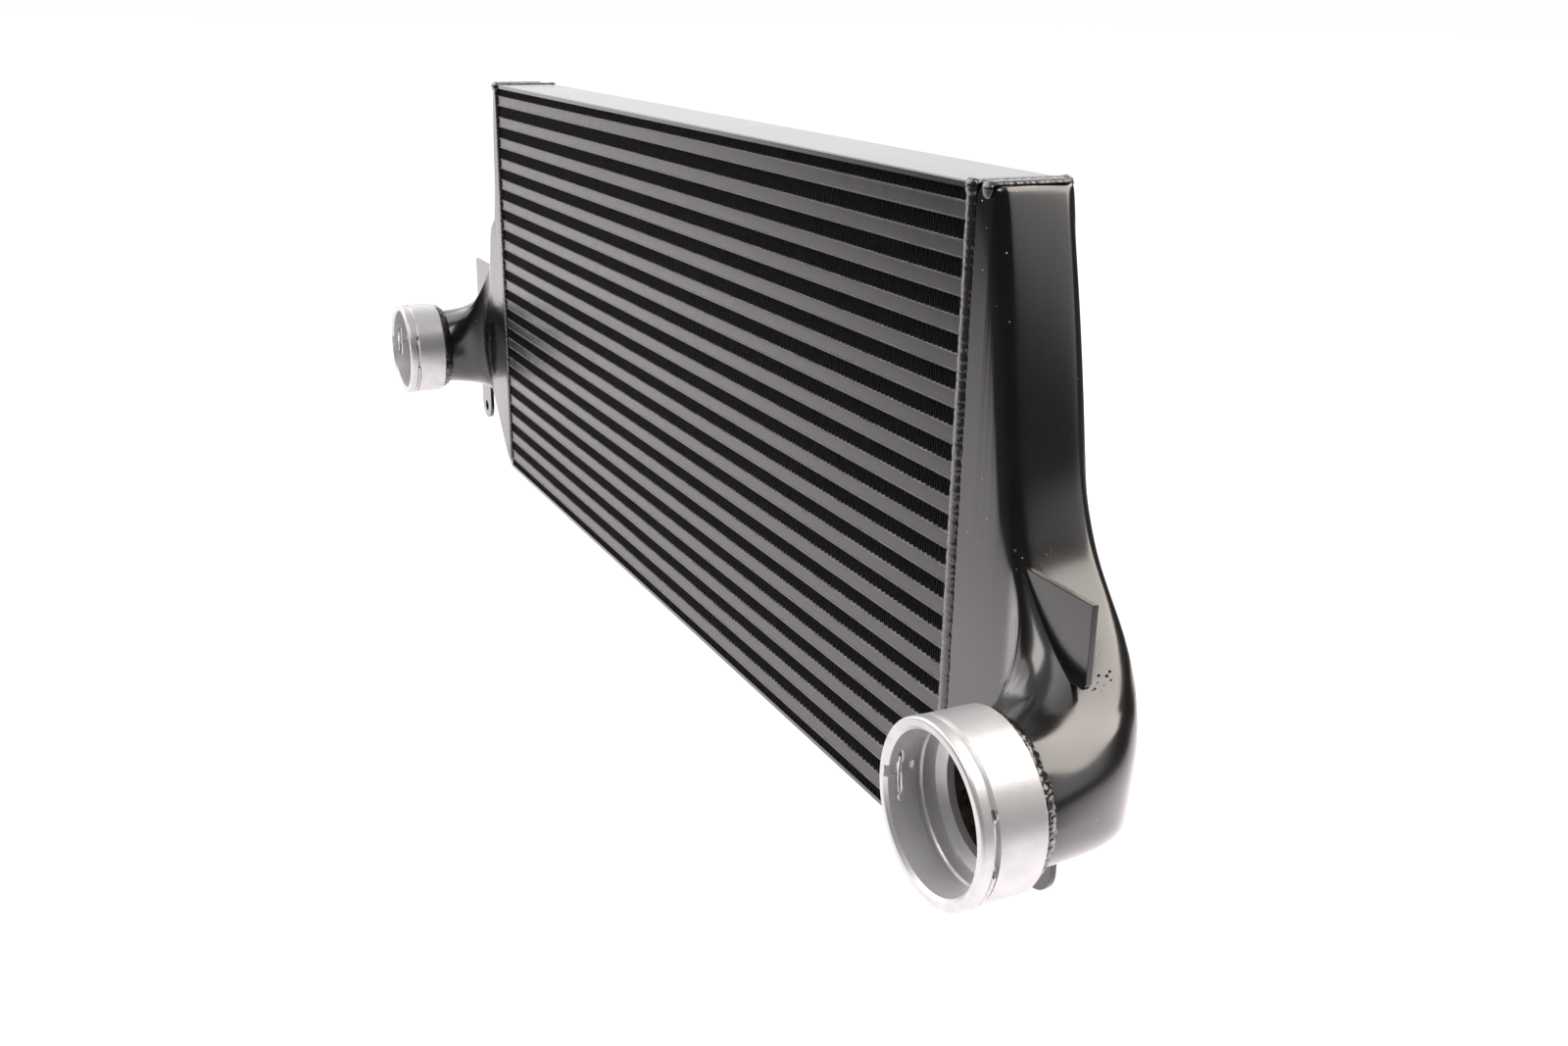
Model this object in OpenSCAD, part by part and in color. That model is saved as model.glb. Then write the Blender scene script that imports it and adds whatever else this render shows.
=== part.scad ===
// Bar-and-plate intercooler: a finned core with an end tank welded to each side. Each tank
// sweeps down and forward into a neck with a quick-release socket for the charge-air pipe.
// Origin: centre of the core's underside. +X right, -Y front (the sockets' side), +Z up.

/* [Core] */
// Width of the cooling-air fin rows
fin_width = 672; // [480:1:860]
// Depth of the core from front to back
core_depth = 46.5; // [42:0.5:56]
// Height of the bars that close the front and back of a charge-air passage
bar_height = 6.3; // [5:0.1:8]
// Depth of those bars from front to back
bar_depth = 5; // [3:0.5:8]
// How far those bars sit behind the edges of the separator sheets
bar_setback = 0.4; // [0.1:0.1:1]
// Thickness of the separator sheets above and below a passage
sheet_thickness = 0.6; // [0.4:0.1:1]
// Height of the cooling-air fin rows between two passages
fin_height = 8.5; // [7:0.1:11]
// Height of the first and the last fin row, next to the side plates
end_fin_height = 5.5; // [4:0.1:9]
// Distance between neighbouring walls of the cooling-air fins
fin_spacing = 9; // [8:0.1:14]
// Thickness of the cooling-air fin sheet
fin_thickness = 0.4; // [0.2:0.05:0.8]
// How far the fins sit behind the edges of the separator sheets
fin_setback = 0.8; // [0.2:0.1:2]
// Distance between neighbouring walls of the fins inside the passages
inner_fin_spacing = 3; // [2.5:0.1:5]
// Thickness of the fin sheet inside the passages
inner_fin_thickness = 0.25; // [0.15:0.05:0.4]
// How far the fins inside the passages stop short of the core's ends
inner_fin_setback = 3; // [1:0.5:10]
// Thickness of the top and bottom side plates
side_plate_thickness = 2.8; // [2:0.1:5]
// Radius along the outer edges of the side plates
side_plate_edge_radius = 0.8; // [0.3:0.1:1.5]
// Width of the bars that close the ends of the fin rows
end_bar_width = 4; // [3:0.5:8]

/* [End tanks] */
// Wall thickness of the tanks
tank_wall = 3; // [2:0.25:4]
// Width of the right tank at its top
tank_top_width = 17.5; // [14:0.5:24]
// Width of the left tank at its top
left_top_width = 15.5; // [13:0.5:22]
// How much further in the rear edge of a tank's side stands at the top than its front edge
side_skew = 4.5; // [0:0.25:7]
// Rounding along the top edge of a tank
tank_top_radius = 3; // [1:0.5:5]
// Rounding of a tank's front edge
tank_front_radius = 8; // [4:0.5:12]
// Rounding of a tank's rear edge
tank_rear_radius = 10.5; // [6:0.5:14]
// Width of a tank where its side starts to flare out to the neck
flare_start_width = 35; // [30:0.5:40]
// Height above the socket axis at which that flare starts
flare_start_rise = 121; // [100:1:140]
// Height above the socket axis of the left tank's shoulder
shoulder_rise = 119.5; // [105:0.5:135]
// Half height of the elbow between tank and neck
elbow_half_height = 35; // [32:0.5:42]
// Radius of the inside of the bend in plan
inner_bend_radius = 20; // [12:0.5:30]
// Radius of the outside of the bend in plan
outer_bend_radius = 72; // [60:0.5:84]
// How far the elbow's outer wall leans in towards its lower edge
elbow_lean = 3; // [0:0.25:5]
// Length over which the tank's underside rises from the core to the elbow
underside_rise_length = 60; // [45:1:80]

/* [Necks and sockets] */
// Distance of a socket's axis beyond the end of the core
socket_offset = 94.3; // [86:0.5:120]
// Height of the socket axis above the core's underside
socket_height = 87.3; // [70:0.5:120]
// Outer radius of the neck behind a socket
neck_radius = 31; // [28:0.5:33]
// Length of the straight neck between the bend and a socket
neck_length = 11; // [7:0.5:30]
// Length of a socket from its mouth to its back face
socket_length = 29.7; // [28.5:0.1:36]
// Outer radius of a socket
socket_radius = 37.6; // [37:0.1:40]
// Radius of a socket's bore
bore_radius = 32.7; // [31:0.1:33.5]
// Depth of the full bore behind the mouth
bore_length = 23.8; // [20:0.1:25]
// Radius of the opening from a socket into its neck
throat_radius = 27.8; // [24:0.1:28]
// Length of the conical step between bore and throat
bore_step_length = 2.4; // [1.5:0.1:3]
// Distance of the inner ring groove behind the mouth
ring_groove_start = 14.7; // [13.5:0.1:16]
// Width of the inner ring groove
ring_groove_width = 3; // [2:0.1:4]
// Depth of the inner ring groove
ring_groove_depth = 1; // [0.5:0.1:1.5]
// Outer radius of the rounded lip at the mouth
lip_radius = 37.9; // [36.5:0.1:40]
// Rounding of the lip's outer edge
lip_rounding = 1.5; // [0.5:0.1:2]
// Chamfer where the bore opens at the mouth
mouth_chamfer = 1.5; // [0.5:0.1:2]
// Chamfer around the back of a socket
back_chamfer = 0.8; // [0.4:0.1:1.5]
// Width of the key slot along the bore
key_slot_width = 5.2; // [4:0.1:7]
// Length of the key slot from the mouth
key_slot_length = 13.2; // [10:0.1:13.4]
// Depth of the key slot beyond the bore
key_slot_depth = 1.3; // [0.6:0.1:1.8]

/* [Retaining clips] */
// Diameter of the clip's wire
wire_diameter = 2; // [1.6:0.1:2.4]
// Distance of the clip groove behind the mouth
clip_groove_start = 5.2; // [3.5:0.1:6]
// Width of the clip groove
clip_groove_width = 3; // [2.6:0.1:4]
// Depth of the clip groove
clip_groove_depth = 1.5; // [1:0.1:2.2]
// Gap between the wire and the bottom of the clip groove
clip_seat_gap = 0.1; // [0.05:0.05:0.3]
// Gap between the bore and the legs of the clip that stand in its windows
clip_bore_gap = 0.15; // [0.1:0.05:0.4]
// Half angle of each window through the socket wall
window_half_angle = 20.5; // [17:0.5:21]

/* [Plates and tabs] */
// Thickness of the gusset plates and the tabs
plate_thickness = 3; // [2:0.25:4]
// Distance of the gusset plates behind the tank's front face
gusset_setback = 3.4; // [2:0.1:8]
// Height of a gusset plate's top edge above the socket axis
gusset_rise = 74.6; // [70:0.5:80]
// Height of a gusset plate's lowest corner above the socket axis
gusset_foot_rise = 38; // [37.5:0.5:44]
// Distance of a gusset plate's outer edge beyond the socket axis
gusset_reach = 1; // [-4:0.5:8]
// Distance of the mounting tabs behind the tank's front face
tab_setback = 1.2; // [0:0.1:6]
// Width of a mounting tab
tab_width = 26; // [20:0.5:32]
// Distance of a mounting tab's centre from the socket axis, towards the core
tab_offset = 21; // [12:0.5:26]
// Depth of a mounting tab's hole below the socket axis
tab_hole_drop = 51.5; // [50:0.5:60]
// Depth of a mounting tab's lower edge below its hole
tab_hole_margin = 10.5; // [8:0.5:14]
// Radius of a mounting tab's hole
tab_hole_radius = 4.2; // [3:0.1:5]

/* [Weld beads] */
// Width of the bead between core and tank
tank_bead_width = 8; // [6:0.5:10]
// Height of that bead on the front and the back
tank_bead_height = 2.8; // [1.5:0.1:3.5]
// Height of that bead across the top
top_bead_height = 1.6; // [0.8:0.1:2.4]
// Leg of the bead between socket and neck
socket_bead_leg = 5; // [3:0.25:7]

/* [Hidden] */
passage_count = 19;
fin_row_count = passage_count + 1;
coated = [0.11, 0.11, 0.12];
bead_coated = [0.16, 0.16, 0.17];
machined = [0.80, 0.80, 0.82];
wire_steel = [0.62, 0.62, 0.64];
exact_round = 96;
eps = 0.01;

passage_height = bar_height + 2 * sheet_thickness;
passage_pitch = passage_height + fin_height;
core_height = 2 * (side_plate_thickness + end_fin_height)
    + passage_count * passage_height + (passage_count - 1) * fin_height;
core_end = fin_width / 2 + end_bar_width;
core_length = 2 * core_end;
front_y = -core_depth / 2;
rear_y = core_depth / 2;

neck_y = min(front_y - inner_bend_radius, rear_y - outer_bend_radius);
socket_back_y = neck_y - neck_length;
mouth_y = socket_back_y - socket_length;
socket_x = core_end + socket_offset;
groove_radius = socket_radius - clip_groove_depth;
wire_y = mouth_y + clip_groove_start + clip_groove_width / 2;

gusset_front_y = front_y + gusset_setback;
tab_front_y = front_y + tab_setback;

// Names of the numbered nodes
function fin_row_name(i) = str("fin_row_", i < 10 ? "0" : "", i);

// Heights in the stack, counted from the top as the passages and fin rows are numbered
function passage_bottom(i) = core_height - side_plate_thickness - end_fin_height
    - i * passage_height - (i - 1) * fin_height;
function fin_row_height(i) = i == 1 || i == fin_row_count ? end_fin_height : fin_height;
function fin_row_bottom(i) = i == fin_row_count ? side_plate_thickness
    : passage_bottom(i) + passage_height;

// Draws a section, given in Y and Z, along X about the middle of the core
module along_x(length) {
    rotate([90, 0, 90]) linear_extrude(length, center = true) children();
}

// Outline of a sheet folded to and fro between z = 0 and the given height
function corrugation(width, height, spacing, thickness) =
    let (
        walls = round(width / spacing),
        step = width / walls,
        rise = thickness * sqrt(1 + pow(height / step, 2)),
        low = [for (k = [0 : walls])
            [k * step - width / 2, k % 2 == 0 ? 0 : height - rise]],
        high = [for (k = [walls : -1 : 0])
            [k * step - width / 2, k % 2 == 0 ? rise : height]]
    ) concat(low, high);

// The sheets above and below every passage, which part the two air streams
module separator_sheets() {
    color(coated)
    for (i = [1 : passage_count], z = [0, passage_height - sheet_thickness])
        translate([-core_end, front_y, passage_bottom(i) + z])
        cube([core_length, core_depth, sheet_thickness]);
}

// The bars that close the front of every passage
module front_bars() {
    color(coated)
    for (i = [1 : passage_count])
        translate([-core_end, front_y + bar_setback, passage_bottom(i) + sheet_thickness])
        cube([core_length, bar_depth - bar_setback, bar_height]);
}

module rear_bars() {
    mirror([0, 1, 0]) front_bars();
}

// The folded fins that stand inside each passage, one strip for every passage
module inner_fins() {
    color(machined)
    for (i = [1 : passage_count])
        translate([0, 0, passage_bottom(i) + sheet_thickness])
        along_x(core_length - 2 * inner_fin_setback)
        polygon(corrugation(core_depth - 2 * bar_depth, bar_height,
                            inner_fin_spacing, inner_fin_thickness));
}

// One row of folded cooling-air fins, open to the front and the back
module fin_row(i) {
    color(coated)
    translate([0, rear_y - fin_setback, fin_row_bottom(i)])
    rotate([90, 0, 0])
    linear_extrude(core_depth - 2 * fin_setback)
    polygon(corrugation(fin_width, fin_row_height(i), fin_spacing, fin_thickness));
}

// A side plate with its two outer long edges rounded, lying on z = 0
module side_plate() {
    r = side_plate_edge_radius;
    along_x(core_length)
    union() {
        translate([front_y, 0]) square([core_depth, side_plate_thickness - r]);
        translate([front_y + r, 0]) square([core_depth - 2 * r, side_plate_thickness]);
        for (y = [front_y + r, rear_y - r])
            translate([y, side_plate_thickness - r]) circle(r, $fn = 32);
    }
}

module top_side_plate() {
    color(coated)
    translate([0, 0, core_height - side_plate_thickness]) side_plate();
}

module bottom_side_plate() {
    color(coated)
    translate([0, 0, side_plate_thickness]) mirror([0, 0, 1]) side_plate();
}

// The bars that close one end of every fin row
module end_bars() {
    color(coated)
    for (i = [1 : fin_row_count])
        translate([fin_width / 2, front_y, fin_row_bottom(i)])
        cube([end_bar_width, core_depth, fin_row_height(i)]);
}

// End tank. The tank is a loft through sections that stand upright. The first ones cross the
// tank parallel to the core's end. Then they fan out around the bend, and the last one is the
// round end of the neck. x is counted from the core's end here.

corner_steps = 8;
flare_steps = 13;
radius_share = 0.499;

inner_bend_x = socket_offset - neck_radius - inner_bend_radius;
outer_bend_x = socket_offset + neck_radius - outer_bend_radius;
fan_start = min(inner_bend_x, outer_bend_x);
fan_end = socket_offset + 2;
flare_start = [flare_start_width, socket_height + flare_start_rise];
flare_end = [fan_end, socket_height + neck_radius];
flare_reach = flare_end[0] - flare_start[0];
flare_drop = flare_start[1] - flare_end[1];
flare_points = [
    flare_start,
    flare_start + [0.16 * flare_reach, -0.69 * flare_drop],
    flare_end + [-0.39 * flare_reach, 0.28 * flare_drop],
    flare_end
];

function mix(a, b, t) = a + (b - a) * t;
function smooth(t) = let (u = min(1, max(0, t))) u * u * (3 - 2 * u);
function bezier(p, t) = p[0] * pow(1 - t, 3) + 3 * p[1] * t * pow(1 - t, 2)
    + 3 * p[2] * t * t * (1 - t) + p[3] * pow(t, 3);
function flare(t) = bezier(flare_points, t);

// Height of the flare at x, found by halving the range of t again and again
function flare_height(x, low = 0, high = 1, halvings = 14) =
    let (t = (low + high) / 2, p = flare(t))
    halvings == 0 ? p[1]
        : p[0] < x ? flare_height(x, t, high, halvings - 1)
        : flare_height(x, low, t, halvings - 1);

// Side view of a tank's upper edge as [x, z] points, from the core's end to the neck
crown_points = 4;
function crown(width) = [
    [0, core_height],
    [width - tank_top_radius, core_height],
    [width - 0.3 * tank_top_radius, core_height - 0.3 * tank_top_radius],
    [width, core_height - tank_top_radius]
];
function right_profile() = concat(
    crown(tank_top_width),
    [for (t = [0.33, 0.66])
        mix([tank_top_width, core_height - tank_top_radius], flare_start, t)],
    [for (k = [0 : flare_steps]) flare(k / flare_steps)]
);

// The left tank stays narrow down to a rounded shoulder, below which it is like the right one
shoulder_z = socket_height + shoulder_rise;
shoulder_foot = [left_top_width + 5, shoulder_z];
shoulder_points = [
    shoulder_foot + [1, 0],
    [flare_start_width - 1, shoulder_z],
    [flare_start_width + 2.5, shoulder_z - 3],
    flare(2.4 / flare_steps)
];
function left_profile() = concat(
    crown(left_top_width),
    [for (t = [0.33, 0.66])
        mix([left_top_width, core_height - tank_top_radius], shoulder_foot, t)],
    [shoulder_foot - [0.3, -6], shoulder_foot + [0, 1.5]],
    [for (t = [0 : 0.2 : 0.8]) bezier(shoulder_points, t)],
    [for (k = [3 : flare_steps]) flare(k / flare_steps)]
);

// Height of a tank's underside at x
function underside(x) =
    let (u = min(1, max(0, (x - 4) / underside_rise_length)))
    (socket_height - elbow_half_height) * pow(sin(90 * pow(u, 0.9)), 2);

// Direction of a profile at one of its points, and the slope of the wall there
function heading(profile, k) =
    let (d = profile[min(k + 1, len(profile) - 1)] - profile[max(k - 1, 0)]) d / norm(d);
function steepness(profile, k) =
    let (d = heading(profile, k)) abs(d[1]) / max(d[0], 0.02);

// How far round the bend a section at x stands, from 0 before the bend to 1 at the neck
function bend_share(x) =
    asin(min(1, max(0, (x - fan_start) / (fan_end - fan_start)))) / 90;

// Point in plan at a share of the way along a wall that starts at y, runs straight to the
// bend, round it by 90 degrees, and on to the neck
function wall_point(bend_x, y, radius, share) =
    let (
        straight = bend_x - fan_start,
        arc = radius * PI / 2,
        way = share * (straight + arc + y - radius - neck_y),
        angle = min(90, max(0, way - straight) / radius * 180 / PI)
    ) [min(fan_start + way, bend_x) + radius * sin(angle),
       y - radius + radius * cos(angle) - max(0, way - straight - arc)];

// How far the rear edge of the side at x stands nearer to the core than its front edge
function skew(x) = side_skew * smooth(x / left_top_width)
    * mix(1, 0.25, smooth((x - left_top_width) / (0.6 * (flare_start_width - left_top_width))));

// Everything that fixes the section at profile point k, set in by the given distance:
// [front wall point, rear wall point, top, bottom, front and rear radius of the upper corners,
// their peak, their depth at front and rear, front and rear radius of the lower corners, their
// depth at front and rear, height of the rounding under the flat top, lean of the outer wall,
// and four numbers that let its top follow the flare]
function section(profile, k, inset, shoulder) =
    let (
        p = profile[k],
        d = heading(profile, k),
        at = k == 0 ? p - [0, inset] : p + inset * [d[1], -d[0]],
        share = k == len(profile) - 1 ? 1 : bend_share(at[0]),
        front = share > 0
            ? wall_point(inner_bend_x, front_y + inset, inner_bend_radius + inset, share)
            : [at[0], front_y + inset],
        rear = share > 0
            ? wall_point(outer_bend_x, rear_y - inset, outer_bend_radius - inset, share)
            : [at[0] - skew(at[0]), rear_y - inset],
        to_round = smooth(pow(share, 2.2)),
        round_radius = neck_radius - inset,
        top = mix(at[1], socket_height + round_radius, to_round),
        bottom = mix(underside(at[0] + 0.7 * inset) + inset,
                     socket_height - round_radius, smooth(pow(share, 1.7))),
        half_width = norm(rear - front) * radius_share,
        half_height = (top - bottom) * radius_share,
        on_crown = k < crown_points,
        wall_slope = steepness(profile, max(k, crown_points)),
        stretch = sqrt(1 + pow(wall_slope, 2)),
        peak = top + (on_crown ? wall_slope * (profile[crown_points - 1][0] - p[0]) : 0),
        grow = pow(smooth(share * 1.1), 1.3),
        low_grow = smooth((share - 0.4) / 0.55),
        fr = min(half_width, mix(tank_front_radius - inset, round_radius, grow)),
        rr = min(half_width, mix(tank_rear_radius - inset, round_radius, grow)),
        room = shoulder > 0 && top > shoulder ? max(fr, top - shoulder) : core_height,
        top_fr = min(half_height, mix(min((tank_front_radius - inset) * stretch, room),
                                      round_radius, grow)),
        top_rr = min(half_height, mix(min((tank_rear_radius - inset) * stretch, room),
                                      round_radius, grow)),
        foot = smooth(at[0] / 20),
        low_fr = min(half_width, mix(mix(2, tank_front_radius - inset, foot),
                                     round_radius, grow)),
        low_rr = min(half_width, mix(mix(2, tank_rear_radius - inset, foot),
                                     round_radius, low_grow)),
        low_fd = min(half_height, low_fr * mix(1.2, 1, grow)),
        low_rd = min(half_height, low_rr),
        lean = elbow_lean * sin(180 * share),
        cut = mix(max(1.2, tank_top_radius - inset), 0.293 * top_fr,
                  smooth((core_height - top) / 60)),
        follow = [share > 0 ? 1 - to_round : 0, at[0] - p[0], p[1], skew(at[0])]
    ) [front, rear, top, bottom, fr, rr, peak, top_fr, top_rr, low_fr, low_rr, low_fd, low_rd,
       cut, lean, follow];

// Upper corner of a section as [distance in from the wall, height]. The corner is a quarter
// ellipse below the peak. Under the flat top it is cut off and rounded with a small radius.
function corner_in(radius, peak, depth, z) =
    let (u = min(1, max(0, (z - peak + depth) / depth))) radius * (1 - sqrt(1 - u * u));
function upper_corner(radius, peak, depth, top, cut) =
    let (
        half = corner_steps / 2,
        cut_z = top - cut,
        low_z = min(peak - depth, cut_z - 3),
        low_in = corner_in(radius, peak, depth, cut_z),
        cap = peak > top + eps ? min(radius - low_in, 1.2 * cut) : radius - low_in,
        cut_angle = acos(min(1, max(0, 1 - low_in / radius)))
    ) concat(
        [for (j = [0 : half])
            let (z = mix(low_z, cut_z, sin(90 * j / half)))
            [corner_in(radius, peak, depth, z), z]],
        [for (j = [1 : half])
            let (a = mix(cut_angle, 90, j / half), b = 90 * j / half)
            peak > top + eps ? [low_in + cap * (1 - cos(b)), cut_z + cut * sin(b)]
                : [radius * (1 - cos(a)), peak - depth + depth * sin(a)]]
    );
function lower_corner(radius, bottom, depth) =
    [for (j = [0 : corner_steps])
        let (a = 90 * j / corner_steps)
        [radius * (1 - cos(a)), bottom + depth - depth * sin(a)]];
function reversed(list) = [for (j = [len(list) - 1 : -1 : 0]) list[j]];

// Sections turn round the bend, but the flare runs straight from front to back. So each point
// of a section's top moves up or down by the flare's height there, less and less to the neck.
function flare_rise(follow, x, way) = follow[0] == 0 ? 0
    : follow[0] * (flare_height(x - follow[1] + follow[3] * way) - follow[2]);

// The closed outline of a section as points in space
function section_ring(s, end_y) =
    let (
        width = norm(s[1] - s[0]),
        middle = (s[2] + s[3]) / 2,
        top_front = upper_corner(s[4], s[6], s[7], s[2], s[13]),
        top_rear = upper_corner(s[5], s[6], s[8], s[2], s[13]),
        low_rear = [for (q = lower_corner(s[10], s[3], s[12]))
            q + [s[14] * max(0, middle - q[1]) / (middle - s[3]), 0]],
        low_front = lower_corner(s[9], s[3], s[11]),
        upper = concat(
            top_front,
            [for (q = reversed(top_rear)) [width - q[0], q[1]]]),
        lower = concat(
            [for (q = low_rear) [width - q[0], q[1]]],
            reversed(low_front)),
        outline = concat(
            [for (q = upper)
                let (way = q[0] / width, x = mix(s[0], s[1], way)[0])
                [way, q[1] + flare_rise(s[15], x, way)]],
            [for (q = lower) [q[0] / width, q[1]]])
    ) [for (q = outline)
        let (plan = mix(s[0], s[1], q[0]))
        [plan[0], is_undef(end_y) ? plan[1] : end_y, q[1]]];

// All rings of a tank's outer or inner skin, the last one moved out to the socket's back
function skin(profile, inset, shoulder) =
    let (last = len(profile) - 1)
    concat(
        [for (k = [0 : last]) section_ring(section(profile, k, inset, shoulder))],
        [section_ring(section(profile, last, inset, shoulder), socket_back_y)]
    );

// Two triangles for each four-sided patch between ring a and ring b of n points
function band(a, b, n) = [for (j = [0 : n - 1]) let (m = (j + 1) % n)
    each [[a + j, b + j, b + m], [a + j, b + m, a + m]]];

module tank_shell(profile, shoulder) {
    outer = skin(profile, 0, shoulder);
    inner = skin(profile, tank_wall, shoulder);
    rings = len(outer);
    n = len(outer[0]);
    inside = rings * n;
    outer_faces = [for (k = [0 : rings - 2]) each band((k + 1) * n, k * n, n)];
    inner_faces = [for (k = [0 : rings - 2]) each band(inside + k * n, inside + (k + 1) * n, n)];
    core_rim = band(0, inside, n);
    neck_rim = band(inside + (rings - 1) * n, (rings - 1) * n, n);
    polyhedron(
        points = [for (skin = [outer, inner]) for (ring = skin) each ring],
        faces = concat(outer_faces, inner_faces, core_rim, neck_rim),
        convexity = 8);
}

// The filled outer form of a tank's elbow, from which plates and tabs take their seats
seat_rings = 13;
module elbow_form(profile, shoulder) {
    first = len(profile) - seat_rings;
    outer = [for (k = [first : len(profile) - 1])
        section_ring(section(profile, k, 0, shoulder))];
    n = len(outer[0]);
    last = (seat_rings - 1) * n;
    polyhedron(
        points = [for (ring = outer) each ring],
        faces = concat(
            [for (k = [0 : seat_rings - 2]) each band((k + 1) * n, k * n, n)],
            [[for (j = [n - 1 : -1 : 0]) j]],
            [[for (j = [0 : n - 1]) last + j]]),
        convexity = 4);
}

module right_tank() {
    color(coated)
    translate([core_end, 0, 0]) tank_shell(right_profile(), 0);
}

module left_tank() {
    color(coated)
    mirror([1, 0, 0])
    translate([core_end, 0, 0]) tank_shell(left_profile(), shoulder_z);
}

// Rounded weld bead seen along its length, with its flat side on y = 0
module bead_section(width, height) {
    polygon([for (t = [-1 : 0.2 : 1]) [t * width / 2, height * (1 - t * t)]]);
}

// Bead around the joint between core and tank, on the front, the back and the top
module tank_weld() {
    color(bead_coated)
    translate([core_end, 0, 0])
    union() {
        for (side = [-1, 1])
            translate([0, side * core_depth / 2, tank_bead_width / 2])
            scale([1, side, 1])
            linear_extrude(core_height + 0.35 * top_bead_height - tank_bead_width / 2)
            bead_section(tank_bead_width, tank_bead_height);
        translate([0, 0, core_height])
        rotate([90, 0, 0])
        linear_extrude(core_depth + 0.6 * tank_bead_height, center = true)
        bead_section(tank_bead_width, top_bead_height);
    }
}

// Socket: a turned collar. The profile is drawn as radius and distance behind the mouth.
module socket_profile() {
    difference() {
        union() {
            translate([throat_radius, clip_groove_start])
                square([socket_radius - throat_radius, socket_length - clip_groove_start
                        - back_chamfer]);
            polygon([
                [throat_radius, socket_length - back_chamfer],
                [socket_radius, socket_length - back_chamfer],
                [socket_radius - back_chamfer, socket_length],
                [throat_radius, socket_length]
            ]);
            translate([throat_radius, 0])
                square([lip_radius - lip_rounding - throat_radius, clip_groove_start]);
            translate([throat_radius, lip_rounding])
                square([lip_radius - throat_radius, clip_groove_start - lip_rounding]);
            translate([lip_radius - lip_rounding, lip_rounding])
                circle(lip_rounding, $fn = 48);
        }
        translate([groove_radius, clip_groove_start])
            square([socket_radius, clip_groove_width]);
        polygon([
            [0, -1],
            [bore_radius + mouth_chamfer + 1, -1],
            [bore_radius, mouth_chamfer],
            [bore_radius, bore_length],
            [throat_radius, bore_length + bore_step_length],
            [0, bore_length + bore_step_length]
        ]);
        translate([bore_radius - 1, ring_groove_start])
            square([ring_groove_depth + 1, ring_groove_width]);
    }
}

// Pie slice from the socket's axis that reaches past its wall, centred on an angle
module sector(angle, half_angle) {
    reach = 2 * socket_radius;
    polygon([
        [0, 0],
        reach * [cos(angle - half_angle), sin(angle - half_angle)],
        reach * [cos(angle), sin(angle)],
        reach * [cos(angle + half_angle), sin(angle + half_angle)]
    ]);
}

// Turns a socket's own frame, with its mouth at z = 0 and its back above, into place
module at_socket(side) {
    translate([side * socket_x, mouth_y, socket_height]) rotate([-90, 0, 0]) children();
}

window_angles = [-4, 180];
key_slot_angle = -176.4;

module socket(side) {
    slot_reach = bore_radius + key_slot_depth;
    color(machined)
    at_socket(side)
    difference() {
        rotate_extrude($fn = exact_round) socket_profile();
        translate([0, 0, clip_groove_start])
        linear_extrude(clip_groove_width)
        difference() {
            union() for (angle = window_angles) sector(angle, window_half_angle);
            circle(bore_radius - 2, $fn = exact_round);
        }
        rotate([0, 0, key_slot_angle])
        translate([0, -key_slot_width / 2, -1])
        cube([slot_reach, key_slot_width, key_slot_length + 1]);
    }
}

// Fillet bead between a socket's back face and its neck
module socket_weld(side) {
    color(bead_coated)
    at_socket(side)
    translate([0, 0, socket_length])
    rotate_extrude($fn = exact_round)
    difference() {
        translate([neck_radius, 0]) square(socket_bead_leg);
        translate([neck_radius + socket_bead_leg * 1.12, socket_bead_leg * 1.12])
            circle(socket_bead_leg * 0.82, $fn = 64);
    }
}

// Clip: one bent wire that lies in the outer groove and passes through both windows, where
// its two legs stand at the surface of the bore. Its path is drawn as radius over angle.
wire_sides = 10;
leg_half_angle = window_half_angle - 7.5;
ring_angle = window_half_angle - 1.5;
stub_angle = 5;

function span(from, to, steps) = [for (j = [0 : steps - 1]) mix(from, to, j / steps)];
function leg_angles(w) = concat(
    span(w - ring_angle, w - leg_half_angle, 6),
    span(w - leg_half_angle, w + leg_half_angle, 4),
    span(w + leg_half_angle, w + ring_angle, 6));
clip_angles = concat(
    span(window_angles[0] - ring_angle - stub_angle, window_angles[0] - ring_angle, 2),
    leg_angles(window_angles[0]),
    span(window_angles[0] + ring_angle, window_angles[1] - ring_angle, 22),
    leg_angles(window_angles[1]),
    span(window_angles[1] + ring_angle, window_angles[1] + ring_angle + stub_angle, 2),
    [window_angles[1] + ring_angle + stub_angle]);

function wire_radius_at(angle) =
    let (
        ring = groove_radius + clip_seat_gap + wire_diameter / 2,
        leg = bore_radius + clip_bore_gap + wire_diameter / 2,
        off = min([for (w = window_angles) abs(angle - w)])
    ) mix(leg, ring, smooth((off - leg_half_angle) / (ring_angle - leg_half_angle)));
function wire_point(angle) = wire_radius_at(angle) * [cos(angle), sin(angle)];

module retaining_clip(side) {
    last = len(clip_angles) - 1;
    path = [for (a = clip_angles) wire_point(a)];
    rings = [for (k = [0 : last])
        let (
            d = path[min(k + 1, last)] - path[max(k - 1, 0)],
            across = [d[1], -d[0]] / norm(d)
        ) [for (j = [0 : wire_sides - 1])
            let (a = 360 * j / wire_sides, r = wire_diameter / 2)
            [each path[k] + r * cos(a) * across, r * sin(a)]]];
    color(wire_steel)
    at_socket(side)
    translate([0, 0, wire_y - mouth_y])
    polyhedron(
        points = [for (ring = rings) each ring],
        faces = concat(
            [for (k = [0 : last - 1])
                each band((k + 1) * wire_sides, k * wire_sides, wire_sides)],
            [[for (j = [wire_sides - 1 : -1 : 0]) j]],
            [[for (j = [0 : wire_sides - 1]) last * wire_sides + j]]),
        convexity = 6);
}

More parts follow.
